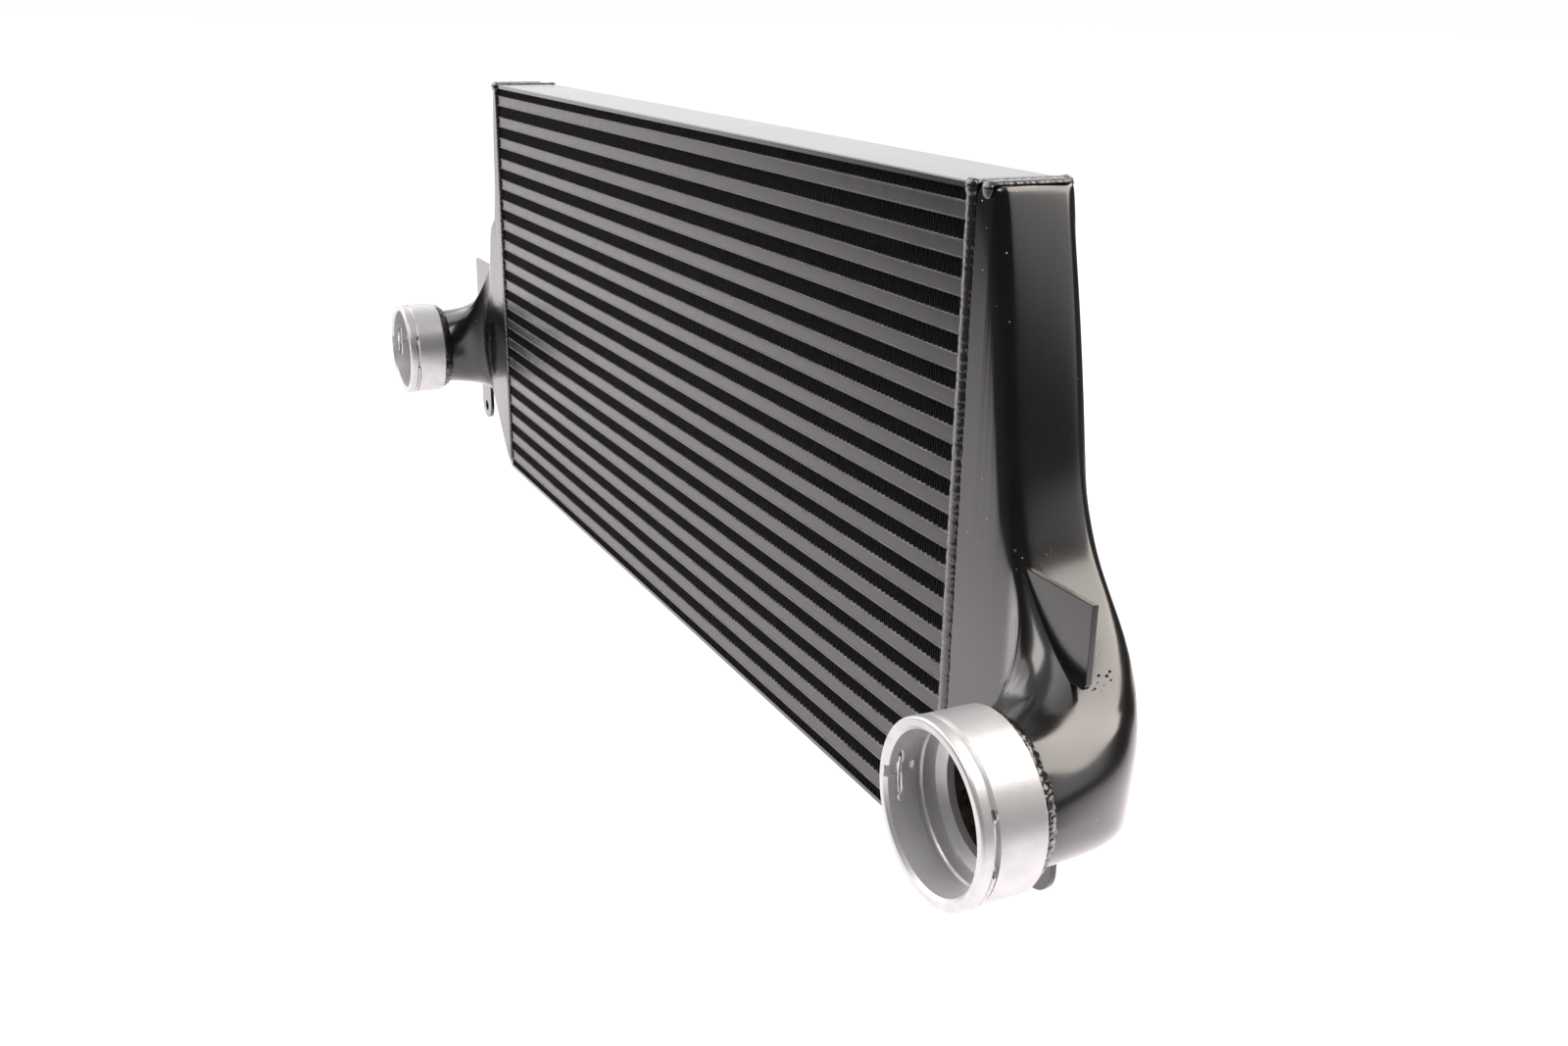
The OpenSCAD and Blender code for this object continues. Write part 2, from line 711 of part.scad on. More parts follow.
// Gusset plate: its free edges are straight, and the flare of the tank cuts its inner edge
module gusset_plate(profile, shoulder) {
    top = socket_height + gusset_rise;
    foot = socket_height + gusset_foot_rise;
    outer = socket_offset + gusset_reach;
    color(coated)
    translate([core_end, 0, 0])
    difference() {
        translate([0, gusset_front_y + plate_thickness, 0])
        rotate([90, 0, 0])
        linear_extrude(plate_thickness)
        polygon([
            [outer, top],
            [outer, foot + 3],
            [outer - 2, foot],
            [mix(flare_start_width, fan_end, 0.6), foot],
            [flare_start_width + 8, top]
        ]);
        elbow_form(profile, shoulder);
    }
}

// Mounting tab: a plate with a round lower end and a hole, cut to the underside of the elbow
module mounting_tab(profile, shoulder) {
    hole_z = socket_height - tab_hole_drop;
    corner = tab_width / 2;
    low_centre_z = hole_z - tab_hole_margin + corner;
    color(coated)
    translate([core_end, 0, 0])
    difference() {
        translate([socket_offset - tab_offset, tab_front_y + plate_thickness, 0])
        rotate([90, 0, 0])
        linear_extrude(plate_thickness)
        difference() {
            union() {
                translate([0, low_centre_z]) circle(corner, $fn = exact_round);
                translate([-corner, low_centre_z])
                    square([tab_width, socket_height - elbow_half_height / 2 - low_centre_z]);
            }
            translate([0, hole_z]) circle(tab_hole_radius, $fn = exact_round);
        }
        elbow_form(profile, shoulder);
    }
}

for (i = [1 : fin_row_count])
    fin_row(i);
separator_sheets();
front_bars();
rear_bars();
inner_fins();
top_side_plate();
bottom_side_plate();
mirror([1, 0, 0]) end_bars();  // left_end_bars
end_bars();  // right_end_bars
left_tank();
right_tank();
mirror([1, 0, 0]) tank_weld();  // left_tank_weld
tank_weld();  // right_tank_weld
socket(-1);  // left_socket
socket(1);  // right_socket
socket_weld(-1);  // left_socket_weld
socket_weld(1);  // right_socket_weld
retaining_clip(-1);  // left_retaining_clip
retaining_clip(1);  // right_retaining_clip
mirror([1, 0, 0]) gusset_plate(left_profile(), shoulder_z);  // left_gusset_plate
gusset_plate(right_profile(), 0);  // right_gusset_plate
mirror([1, 0, 0]) mounting_tab(left_profile(), shoulder_z);  // left_mounting_tab
mounting_tab(right_profile(), 0);  // right_mounting_tab
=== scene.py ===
# %% [markdown]
# # A bar-and-plate intercooler, dressed around its CAD model
# An intercooler cools the air between a turbocharger and the engine. Hot charge air enters one
# end tank, runs through flat passages in the core and leaves through the other tank, while
# outside air blows through the rows of folded fins between the passages. The CAD model already
# has every solid in its true place, so this script loads it as a fixed frame and only adds what
# the CAD leaves plain: fine fins, rippled welds, softened edges, paint and bare metal.

# %% Load the frame
import math

import bmesh
import bpy
import numpy as np
from mathutils import Matrix, Vector
from mathutils.bvhtree import BVHTree


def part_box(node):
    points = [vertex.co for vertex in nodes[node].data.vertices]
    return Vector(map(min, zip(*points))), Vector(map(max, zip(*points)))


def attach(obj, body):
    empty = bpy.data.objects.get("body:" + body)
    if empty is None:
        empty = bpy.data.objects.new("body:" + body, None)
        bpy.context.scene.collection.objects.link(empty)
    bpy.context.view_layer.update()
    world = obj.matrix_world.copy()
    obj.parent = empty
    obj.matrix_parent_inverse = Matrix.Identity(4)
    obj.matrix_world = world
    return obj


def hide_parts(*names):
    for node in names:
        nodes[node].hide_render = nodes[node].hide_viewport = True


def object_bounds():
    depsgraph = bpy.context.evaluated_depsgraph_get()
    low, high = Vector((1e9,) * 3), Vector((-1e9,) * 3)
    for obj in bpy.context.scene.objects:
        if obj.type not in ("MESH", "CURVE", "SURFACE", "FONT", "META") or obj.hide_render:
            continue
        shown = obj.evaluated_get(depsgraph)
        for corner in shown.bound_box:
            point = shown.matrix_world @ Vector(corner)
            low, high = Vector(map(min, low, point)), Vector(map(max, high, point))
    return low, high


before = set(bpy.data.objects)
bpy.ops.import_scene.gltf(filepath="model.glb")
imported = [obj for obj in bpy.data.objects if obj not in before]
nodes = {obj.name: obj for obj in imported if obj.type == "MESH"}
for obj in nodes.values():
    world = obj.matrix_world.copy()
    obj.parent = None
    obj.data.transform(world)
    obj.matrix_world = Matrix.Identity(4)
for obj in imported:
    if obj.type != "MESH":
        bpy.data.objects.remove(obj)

MM = 0.001
SIDES = {"left": -1, "right": 1}
cad_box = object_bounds()
print("CAD box", [round(v, 4) for corner in cad_box for v in corner])

# %% [markdown]
# ## Reading sizes off the frame
# Every piece below takes its place from the box of a CAD node. The few spots that come from the
# photograph, such as the dressed shoulder of a tank, have names. The core's own box comes from
# its two side plates, and the socket's axis from the socket itself.

# %% Sizes of the core and the sockets
low_plate, high_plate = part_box("bottom_side_plate"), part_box("top_side_plate")
core_low, core_high = low_plate[0], high_plate[1]
sockets = {side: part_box(f"{side}_socket") for side in SIDES}
socket_axis = {side: (low + high) / 2 for side, (low, high) in sockets.items()}
print("core", core_low, core_high)

# %% [markdown]
# ## Wiring node trees in few lines
# Geometry Nodes and shader nodes are wired the same way, so one small helper serves both. It
# adds a node, sets its fields, and takes either a number or another node's output for an input.
# A chain of Math nodes is hard to read in a script, so an output is wrapped in a small class
# that knows the plain signs: each +, -, *, /, % or ** adds one Math node.

# %% Helpers that add nodes
class Field:
    """A node's output. A plain sign between two of them, or one and a number, adds a Math node."""

    def __init__(self, wiring, socket):
        self.wiring, self.socket = wiring, socket


def sign_method(operation, swapped):
    """What a field does for one sign. Swapped is for a number on the left of the sign."""
    def method(field, other):
        values = (other, field) if swapped else (field, other)
        return field.wiring.math(operation, *values)
    return method


for sign, operation in {"add": "ADD", "sub": "SUBTRACT", "mul": "MULTIPLY", "truediv": "DIVIDE",
                        "mod": "MODULO", "pow": "POWER"}.items():
    setattr(Field, f"__{sign}__", sign_method(operation, False))
    setattr(Field, f"__r{sign}__", sign_method(operation, True))


class Wiring:
    """Adds nodes to one tree and links them."""

    def __init__(self, tree):
        self.tree = tree

    def link(self, value, target):
        self.tree.links.new(getattr(value, "socket", value), target)

    def node(self, kind, inputs=None, **fields):
        made = self.tree.nodes.new(kind)
        for field, value in fields.items():
            setattr(made, field, value)
        for key, value in (inputs or {}).items():
            if isinstance(value, (Field, bpy.types.NodeSocket)):
                self.link(value, made.inputs[key])
            else:
                made.inputs[key].default_value = value
        return made

    def read(self, kind, inputs=None, output=0, **fields):
        """Adds a node and gives one of its outputs, by number or name."""
        return Field(self, self.node(kind, inputs, **fields).outputs[output])

    def math(self, operation, *values):
        return self.read("ShaderNodeMath", dict(enumerate(values)), operation=operation)

    def vector(self, operation, *values, output=0):
        return self.read("ShaderNodeVectorMath", dict(enumerate(values)), output,
                         operation=operation)

    def scaled(self, vector, factor):
        return self.read("ShaderNodeVectorMath", {0: vector, "Scale": factor},
                         operation="SCALE")

    def xyz(self, x=0.0, y=0.0, z=0.0):
        return self.read("ShaderNodeCombineXYZ", {0: x, 1: y, 2: z})

    def parts(self, vector):
        outputs = self.node("ShaderNodeSeparateXYZ", {0: vector}).outputs
        return [Field(self, socket) for socket in outputs]

    def ramp(self, value, low, high, to_low=0.0, to_high=1.0, kind="LINEAR"):
        return self.read("ShaderNodeMapRange", {0: value, 1: low, 2: high, 3: to_low, 4: to_high},
                         interpolation_type=kind)

    def noise(self, vector, scale, detail=2.0, roughness=0.5):
        return self.read("ShaderNodeTexNoise", {"Vector": vector, "Scale": scale,
                                                "Detail": detail, "Roughness": roughness})

    def blend(self, factor, first, second):
        return self.read("ShaderNodeMix", {0: factor, 6: first, 7: second}, 2, data_type="RGBA")

    def millimetres(self):
        """The place on the object, in millimetres."""
        return self.scaled(self.read("ShaderNodeTexCoord", output="Object"), 1000.0)


def new_group(name, kind, inputs, outputs):
    """A node group with named inputs (name, type, default) and outputs (name, type)."""
    tree = bpy.data.node_groups.new(name, kind)
    for label, socket_type, default in inputs:
        socket = tree.interface.new_socket(label, in_out="INPUT", socket_type=socket_type)
        if default is not None:
            socket.default_value = default
    for label, socket_type in outputs:
        tree.interface.new_socket(label, in_out="OUTPUT", socket_type=socket_type)
    wiring = Wiring(tree)
    given = {s.name: Field(wiring, s) for s in wiring.node("NodeGroupInput").outputs if s.name}
    return wiring, given, wiring.node("NodeGroupOutput").inputs


def ended_tree(wiring, geometry, material, result):
    """Ends a tree as the export needs it: real geometry that carries its material."""
    whole = wiring.read("GeometryNodeRealizeInstances", {"Geometry": geometry})
    painted = wiring.read("GeometryNodeSetMaterial", {"Geometry": whole, "Material": material})
    wiring.link(painted, result["Geometry"])
    return wiring.tree


FLOAT, INT, SHAPE = "NodeSocketFloat", "NodeSocketInt", "NodeSocketGeometry"

# %% [markdown]
# ## Shader effects that several finishes share
# Sprayed paint is never optically flat: it has a fine orange-peel skin, and dust settles on it.
# Both effects live in small shader groups with named inputs. A group puts out plain values, so
# that each material sets its own strength and keeps its Principled BSDF in the material itself.

# %% Group for the skin of sprayed paint
def paint_skin_group():
    wiring, given, result = new_group(
        "paint_skin", "ShaderNodeTree",
        [("Peel Size", FLOAT, 1.2), ("Peel Depth", FLOAT, 1.0), ("Grain Depth", FLOAT, 0.3),
         ("Roughness", FLOAT, 0.35), ("Patchiness", FLOAT, 0.06)],
        [("Height", FLOAT), ("Roughness", FLOAT)])
    place = wiring.millimetres()
    peel = wiring.noise(place, 1.0 / given["Peel Size"], 1.0)
    grain = wiring.noise(place, 4.0, 2.0, 0.6)
    patches = wiring.noise(place, 0.03, 4.0) - 0.5
    wiring.link(peel * given["Peel Depth"] + grain * given["Grain Depth"], result["Height"])
    wiring.link(given["Roughness"] + patches * given["Patchiness"], result["Roughness"])
    return wiring.tree


# %% Group for dust specks
def dust_group():
    wiring, given, result = new_group(
        "dust_specks", "ShaderNodeTree",
        [("Spacing", FLOAT, 9.0), ("Speck Radius", FLOAT, 0.35), ("Share", FLOAT, 0.3)],
        [("Mask", FLOAT)])
    place = wiring.millimetres()
    cells = wiring.node("ShaderNodeTexVoronoi",
                        {"Vector": place, "Scale": 1.0 / given["Spacing"]}).outputs
    luck, size, _ = wiring.parts(cells["Color"])
    radius = given["Speck Radius"] / given["Spacing"] * wiring.ramp(size, 0.0, 1.0, 0.4, 1.4)
    inside = wiring.math("LESS_THAN", cells["Distance"], radius)
    chosen = wiring.math("LESS_THAN", luck, given["Share"])
    drift = wiring.math("GREATER_THAN", wiring.noise(place, 0.022, 2.0), 0.5)
    wiring.link(inside * chosen * drift, result["Mask"])
    return wiring.tree


paint_skin, dust_specks = paint_skin_group(), dust_group()
print("shader groups", [g.name for g in bpy.data.node_groups])

# %% [markdown]
# ## Satin black paint
# Core, tanks and plates are sprayed black. Seen head on the paint is almost black, and towards
# the edge of a surface it mirrors the white studio. A dark base under a smoother clear coat
# does just that, so no trick is needed: the coat gives the crisp part of the reflection, and
# the base its soft part. Noise varies the roughness and raises the orange peel.

# %% Helper that makes a finish, and the paints
class Finish(Wiring):
    """The wiring of a new material. Plain values go on the sockets of its Principled BSDF."""

    def __init__(self, name, **plain):
        self.material = bpy.data.materials.new(name)
        self.material.use_nodes = True
        super().__init__(self.material.node_tree)
        self.shader = self.tree.nodes["Principled BSDF"].inputs
        for socket, value in plain.items():
            self.shader[socket.replace("_", " ")].default_value = value

    def dress(self, colour, roughness, height, depth_mm):
        """Links the colour, the roughness and a bump of that depth. Gives the material."""
        bump = self.read("ShaderNodeBump", {"Height": height, "Distance": depth_mm * MM})
        self.link(colour, self.shader["Base Color"])
        self.link(roughness, self.shader["Roughness"])
        self.link(bump, self.shader["Normal"])
        return self.material


def sprayed_paint(name, shade, roughness, peel_size=1.2, dust=0.0):
    """Black paint with orange peel, patchy gloss and a little dust."""
    paint = Finish(name, IOR=1.6, Coat_Weight=1.0, Coat_Roughness=0.14)
    skin = paint.node("ShaderNodeGroup",
                      {"Peel Size": peel_size, "Peel Depth": 1.0, "Grain Depth": 0.25,
                       "Roughness": roughness, "Patchiness": 0.12}, node_tree=paint_skin).outputs
    tone = paint.ramp(paint.noise(paint.millimetres(), 0.02, 3.0), 0.3, 0.7)
    colour = paint.blend(tone, [c * 0.75 for c in shade] + [1.0],
                         [c * 1.3 for c in shade] + [1.0])
    rough = skin["Roughness"]
    if dust:
        speck = paint.read("ShaderNodeGroup",
                           {"Share": dust, "Spacing": 4.5, "Speck Radius": 0.28}, "Mask",
                           node_tree=dust_specks)
        colour = paint.blend(speck, colour, [0.55, 0.53, 0.5, 1.0])
        rough = paint.math("MAXIMUM", rough, speck * 0.8)
    return paint.dress(colour, rough, skin["Height"], 0.02)


tank_paint = sprayed_paint("tank_paint", [0.0065, 0.006, 0.0055], 0.22, dust=0.22)
core_paint = sprayed_paint("core_paint", [0.010, 0.009, 0.009], 0.26, peel_size=1.6)
weld_paint = sprayed_paint("weld_paint", [0.010, 0.009, 0.009], 0.24, peel_size=0.8)
print("paints", tank_paint.name, core_paint.name, weld_paint.name)

# %% [markdown]
# ## Paint on the bars and on the fins
# The bars are extruded strips, so faint draw lines run along them under the paint: noise that
# is stretched along X. Where a face or rounded edge points up, a painted highlight makes it
# unevenly lighter, which draws the thin bright line above each bar. The Normal output of the
# Geometry node finds those faces. The fins got little paint, so they stay a dry, uneven black.

# %% Bar and fin paints
def bar_finish():
    paint = Finish("bar_paint", IOR=1.5, Coat_Weight=0.6, Coat_Roughness=0.2)
    place = paint.millimetres()
    x, y, z = paint.parts(place)
    lines = paint.noise(paint.xyz(x * 0.02, y, z), 2.2, 3.0, 0.7)
    blotch = paint.noise(place, 0.08, 4.0, 0.6)
    colour = paint.blend(paint.ramp(blotch, 0.35, 0.65), [0.012, 0.011, 0.011, 1],
                         [0.024, 0.021, 0.020, 1])
    # Painted highlight: faces and edges that point up are made lighter in the colour, unevenly.
    up = paint.parts(paint.read("ShaderNodeNewGeometry", output="Normal"))[2]
    painted_highlight = paint.ramp(up, 0.3, 0.75) * paint.ramp(blotch, 0.3, 0.6, 0.45, 0.95)
    colour = paint.blend(painted_highlight, colour, [0.42, 0.41, 0.41, 1])
    return paint.dress(colour, paint.ramp(blotch, 0.3, 0.7, 0.24, 0.36), lines, 0.012)


def fin_finish():
    paint = Finish("fin_paint", IOR=1.45)
    place = paint.millimetres()
    blotch = paint.noise(place, 0.9, 3.0, 0.6)
    colour = paint.blend(paint.ramp(blotch, 0.4, 0.75), [0.005, 0.005, 0.005, 1],
                         [0.028, 0.026, 0.025, 1])
    return paint.dress(colour, paint.ramp(blotch, 0.3, 0.7, 0.30, 0.5),
                       paint.noise(place, 2.5, 1.0), 0.02)


bar_paint, fin_paint = bar_finish(), fin_finish()

# %% [markdown]
# ## Bare metals
# The sockets are turned on a lathe and left bare: fine rings run round them, with smudges where
# they were handled. The noise is stretched so that it changes fast along the axis and slowly
# around it. Turned metal also scatters a part of the light, which a Metallic below 1 gives. The
# passages and the inside of the tanks are never painted either, and show brown flux stains.

# %% Turned, stained and drawn metal
def turned_finish():
    metal = Finish("turned_aluminium", Metallic=0.72)
    place = metal.millimetres()
    x, y, z = metal.parts(place)
    rings = metal.noise(metal.xyz(x * 0.03, y * 2.0, z * 0.03), 2.0, 3.0, 0.7)
    smudge = metal.noise(place, 0.09, 5.0, 0.65)
    colour = metal.blend(metal.ramp(smudge, 0.35, 0.7), [0.90, 0.89, 0.89, 1],
                         [0.78, 0.78, 0.80, 1])
    rough = (metal.ramp(smudge, 0.3, 0.7, 0.30, 0.40)
             + metal.ramp(rings, 0.3, 0.7, -0.03, 0.05))
    return metal.dress(colour, rough, rings, 0.006)


def stained_finish(name, clean, stain, roughness):
    metal = Finish(name, Metallic=1.0)
    place = metal.millimetres()
    blotch = metal.noise(place, 0.12, 5.0, 0.65)
    streak = metal.noise(place, 0.5, 3.0, 0.6)
    colour = metal.blend(metal.ramp(blotch, 0.38, 0.62), clean, stain)
    rough = metal.ramp(streak, 0.3, 0.7, roughness - 0.1, roughness + 0.15)
    return metal.dress(colour, rough, streak, 0.05)


turned_aluminium = turned_finish()
stained_neck = stained_finish("stained_neck", [0.30, 0.25, 0.21, 1], [0.12, 0.07, 0.05, 1], 0.5)
brazed_aluminium = stained_finish("brazed_aluminium", [0.55, 0.55, 0.54, 1],
                                  [0.38, 0.37, 0.35, 1], 0.4)
spring_steel = stained_finish("spring_steel", [0.78, 0.78, 0.79, 1], [0.62, 0.62, 0.63, 1], 0.25)
print("finishes", [m.name for m in bpy.data.materials])

# %% [markdown]
# ## Handing a piece over
# A finished piece sits at the origin with its place in its mesh, as the CAD nodes do. It rides
# on the one body, takes its material in a slot, and hides the CAD nodes it stands for.

# %% Helpers for meshes and pieces
JOIN_DISTANCE = 0.004 * MM


def piece_from(mesh, name, material, stands_for=()):
    """Links a finished mesh as a piece of the intercooler."""
    piece = bpy.data.objects.new(name, mesh)
    bpy.context.scene.collection.objects.link(piece)
    if material:
        mesh.materials.clear()
        mesh.materials.append(material)
    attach(piece, "root")
    if stands_for:
        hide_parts(*stands_for)
    return piece


def evaluated_mesh(carrier, name):
    """The carrier's result as a plain mesh. The carrier and its modifiers are removed."""
    bpy.context.view_layer.update()
    depsgraph = bpy.context.evaluated_depsgraph_get()
    mesh = bpy.data.meshes.new_from_object(carrier.evaluated_get(depsgraph), depsgraph=depsgraph)
    mesh.name = name
    bpy.data.objects.remove(carrier)
    return mesh


def carrier_of(mesh):
    """An object that only carries a mesh through its modifiers."""
    carrier = bpy.data.objects.new("carrier", mesh)
    bpy.context.scene.collection.objects.link(carrier)
    return carrier


def add_nodes(carrier, tree, settings):
    """Puts a Geometry Nodes tree on the carrier and sets its inputs by identifier."""
    modifier = carrier.modifiers.new(tree.name, "NODES")
    modifier.node_group = tree
    for item in tree.interface.items_tree:
        if item.item_type == "SOCKET" and item.in_out == "INPUT" and item.name in settings:
            modifier[item.identifier] = settings[item.name]


def merged_copy(node_name):
    """A CAD node's mesh as a bmesh whose loose triangles are joined up."""
    body = bmesh.new()
    body.from_mesh(nodes[node_name].data)
    bmesh.ops.remove_doubles(body, verts=body.verts, dist=JOIN_DISTANCE)
    return body


def mesh_from(body, name):
    """Turns a bmesh into a new mesh and frees it."""
    mesh = bpy.data.meshes.new(name)
    body.to_mesh(mesh)
    body.free()
    return mesh


def soften(mesh, angle_degrees=32.0):
    """Smooth shading with sharp edges kept, weighted so that flat faces stay flat."""
    body = bmesh.new()
    body.from_mesh(mesh)
    limit = math.radians(angle_degrees)
    for face in body.faces:
        face.smooth = True
    for edge in body.edges:
        edge.smooth = not (len(edge.link_faces) != 2 or edge.calc_face_angle(0.0) > limit)
    body.to_mesh(mesh)
    body.free()
    carrier = carrier_of(mesh)
    weighted = carrier.modifiers.new("weighted", "WEIGHTED_NORMAL")
    weighted.keep_sharp = True
    weighted.mode = "FACE_AREA_WITH_ANGLE"
    return evaluated_mesh(carrier, mesh.name)


# %% [markdown]
# ## Cooling fins
# Between two passages runs one long strip of thin sheet, folded to and fro like a concertina.
# An array of a single fold would work, but a rule is shorter: take a flat grid, number its
# points, and let the number say where in the fold each point lies. The strip is lanced into
# rows whose folds are offset by half a step, as in real fins, so little light comes straight
# through. A slow noise makes the walls waver, and here and there a knock has bent them.

# %% Tree that folds a strip of sheet
def folded_strip_tree():
    wiring, given, result = new_group(
        "folded_strip", "GeometryNodeTree",
        [("Width", FLOAT, 0.672), ("Height", FLOAT, 0.0085), ("Depth", FLOAT, 0.045),
         ("Walls", INT, 344), ("Rows", INT, 2), ("Sheet", FLOAT, 0.0002),
         ("Waver", FLOAT, 0.0002), ("Knock", FLOAT, 0.0008), ("Seed", FLOAT, 0.0)],
        [("Geometry", SHAPE)])
    width, height, depth, sheet = (given[n] for n in ("Width", "Height", "Depth", "Sheet"))
    across = given["Rows"] * 2.0
    grid = wiring.read("GeometryNodeMeshGrid",
                       {"Size X": 1.0, "Size Y": across - 1.0, "Vertices X": given["Walls"] * 4.0,
                        "Vertices Y": across}, "Mesh")
    column = wiring.parts(wiring.read("GeometryNodeInputPosition"))[1]
    gap = wiring.math("FLOOR", column + (across - 1.0) * 0.5) % 2.0
    strips = wiring.read("GeometryNodeDeleteGeometry",
                         {"Geometry": grid, "Selection": wiring.math("GREATER_THAN", gap, 0.5)},
                         domain="FACE")

    number = wiring.read("GeometryNodeInputIndex")
    along = wiring.math("FLOOR", (number + 0.5) / across)
    place = number - along * across
    row = wiring.math("FLOOR", (place + 0.5) / 2.0)
    edge = place - row * 2.0
    wall = wiring.math("FLOOR", (along + 0.5) / 4.0)
    step = along - wall * 4.0 - 1.5
    up = wiring.read("ShaderNodeClamp", {0: 0.5 + step * 0.78})
    share = wiring.math("ABSOLUTE", wall % 2.0 - up)
    pitch = width / (given["Walls"] + 0.6)
    shift = row % 2.0 * 0.5
    x = pitch * (wall + (0.5 + step * 0.24) + shift) - width * 0.5
    y = (row + edge) * depth / given["Rows"] - depth * 0.5
    z = sheet * 0.5 + share * (height - sheet)

    spot = wiring.xyz(x * 1000.0, y * 200.0, given["Seed"])
    waver = (wiring.noise(spot, 0.45, 1.0) - 0.5) * (given["Waver"] * 2.0)
    knocked = wiring.ramp(wiring.noise(spot, 0.05, 2.0), 0.66, 0.74)
    knock = knocked * given["Knock"] * (share * (1.0 - edge))
    moved = wiring.read("GeometryNodeSetPosition",
                        {"Geometry": strips, "Position": wiring.xyz(x + (waver + knock), y, z)})
    return ended_tree(wiring, moved, fin_paint, result)


# %% Grow a strip of fins in every row
SHEET, WAVER, KNOCK = 0.16 * MM, 0.14 * MM, 0.9 * MM
folded_strip = folded_strip_tree()
fin_rows = sorted(n for n in nodes if n.startswith("fin_row_"))
fin_triangles = 0
for count, row in enumerate(fin_rows):
    low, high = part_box(row)
    strip = carrier_of(bpy.data.meshes.new("strip"))
    add_nodes(strip, folded_strip,
              {"Width": high.x - low.x, "Height": high.z - low.z, "Depth": high.y - low.y,
               "Walls": 344, "Rows": 2, "Sheet": SHEET, "Waver": WAVER,
               "Knock": KNOCK, "Seed": count * 7.31})
    solid = strip.modifiers.new("sheet", "SOLIDIFY")
    solid.thickness = SHEET
    solid.offset = 0.0
    mesh = evaluated_mesh(strip, row.replace("fin_row", "cooling_fins"))
    mesh.transform(Matrix.Translation((0.0, (low.y + high.y) / 2, low.z)))
    piece_from(mesh, mesh.name, fin_paint, [row])
    fin_triangles += sum(len(p.vertices) - 2 for p in mesh.polygons)
print("fins:", len(fin_rows), "rows,", fin_triangles, "triangles")

# %% [markdown]
# ## Bars and sheets of the core
# Bars and sheets stay the plain boxes that the CAD has, but a real edge is never sharp. Its
# small round catches the light as a thin bright line, which is what draws the stripes of the
# core. A Bevel modifier on a copy of the node does it, limited to edges that turn sharply.

# %% Round the edges of bars, sheets and plates
BAR_ROUND, SHEET_ROUND, PLATE_ROUND = 0.35 * MM, 0.14 * MM, 0.4 * MM


def rounded_copy(node_name, name, radius, material):
    """Stands in for a CAD node with the same form whose edges are rounded."""
    body = merged_copy(node_name)
    bmesh.ops.dissolve_limit(body, angle_limit=math.radians(0.5), verts=body.verts,
                             edges=body.edges)
    carrier = carrier_of(mesh_from(body, name))
    bevel = carrier.modifiers.new("edge", "BEVEL")
    bevel.width = radius
    bevel.segments = 2
    bevel.limit_method = "ANGLE"
    bevel.angle_limit = math.radians(50)
    bevel.use_clamp_overlap = True
    mesh = soften(evaluated_mesh(carrier, name), 40.0)
    piece_from(mesh, name, material, [node_name])


rounded_copy("front_bars", "front_closing_bars", BAR_ROUND, bar_paint)
rounded_copy("rear_bars", "rear_closing_bars", BAR_ROUND, bar_paint)
rounded_copy("separator_sheets", "parting_sheets", SHEET_ROUND, bar_paint)
for side in SIDES:
    rounded_copy(f"{side}_gusset_plate", f"{side}_gusset", PLATE_ROUND, tank_paint)
    rounded_copy(f"{side}_mounting_tab", f"{side}_tab", PLATE_ROUND, tank_paint)
print("rounded pieces made")

# %% [markdown]
# ## End tanks
# Each tank is a lofted shell that the CAD gives as flat triangles. Joined into larger faces and
# put through a Subdivision Surface, they become one smooth form, with a crease wherever two
# faces meet sharply. The front shoulder of the real tank was dressed after welding, so nothing
# is creased there, and a Smooth modifier with a vertex group rounds it off. The skin inside the
# tank is bare metal. Walking over the mesh without crossing the two open rims finds it.

# %% Smooth tank shells with two finishes
def mark_inner_skin(body, rim_planes):
    """Gives material 1 to the inner skin: the smaller of the two parts between the rims."""
    def on_rim(face):
        return any(all(abs(v.co[axis] - value) < 0.05 * MM for v in face.verts)
                   for axis, value in rim_planes)

    skins, seen = [], {f for f in body.faces if on_rim(f)}
    for start in body.faces:
        if start in seen:
            continue
        skin, stack = [], [start]
        seen.add(start)
        while stack:
            skin.append(stack.pop())
            for other in (f for edge in skin[-1].edges for f in edge.link_faces):
                if other not in seen:
                    seen.add(other)
                    stack.append(other)
        skins.append(skin)
    skins.sort(key=lambda skin: -sum(f.calc_area() for f in skin))
    for skin in skins[1:]:
        for face in skin:
            face.material_index = 1
    return [len(s) for s in skins]


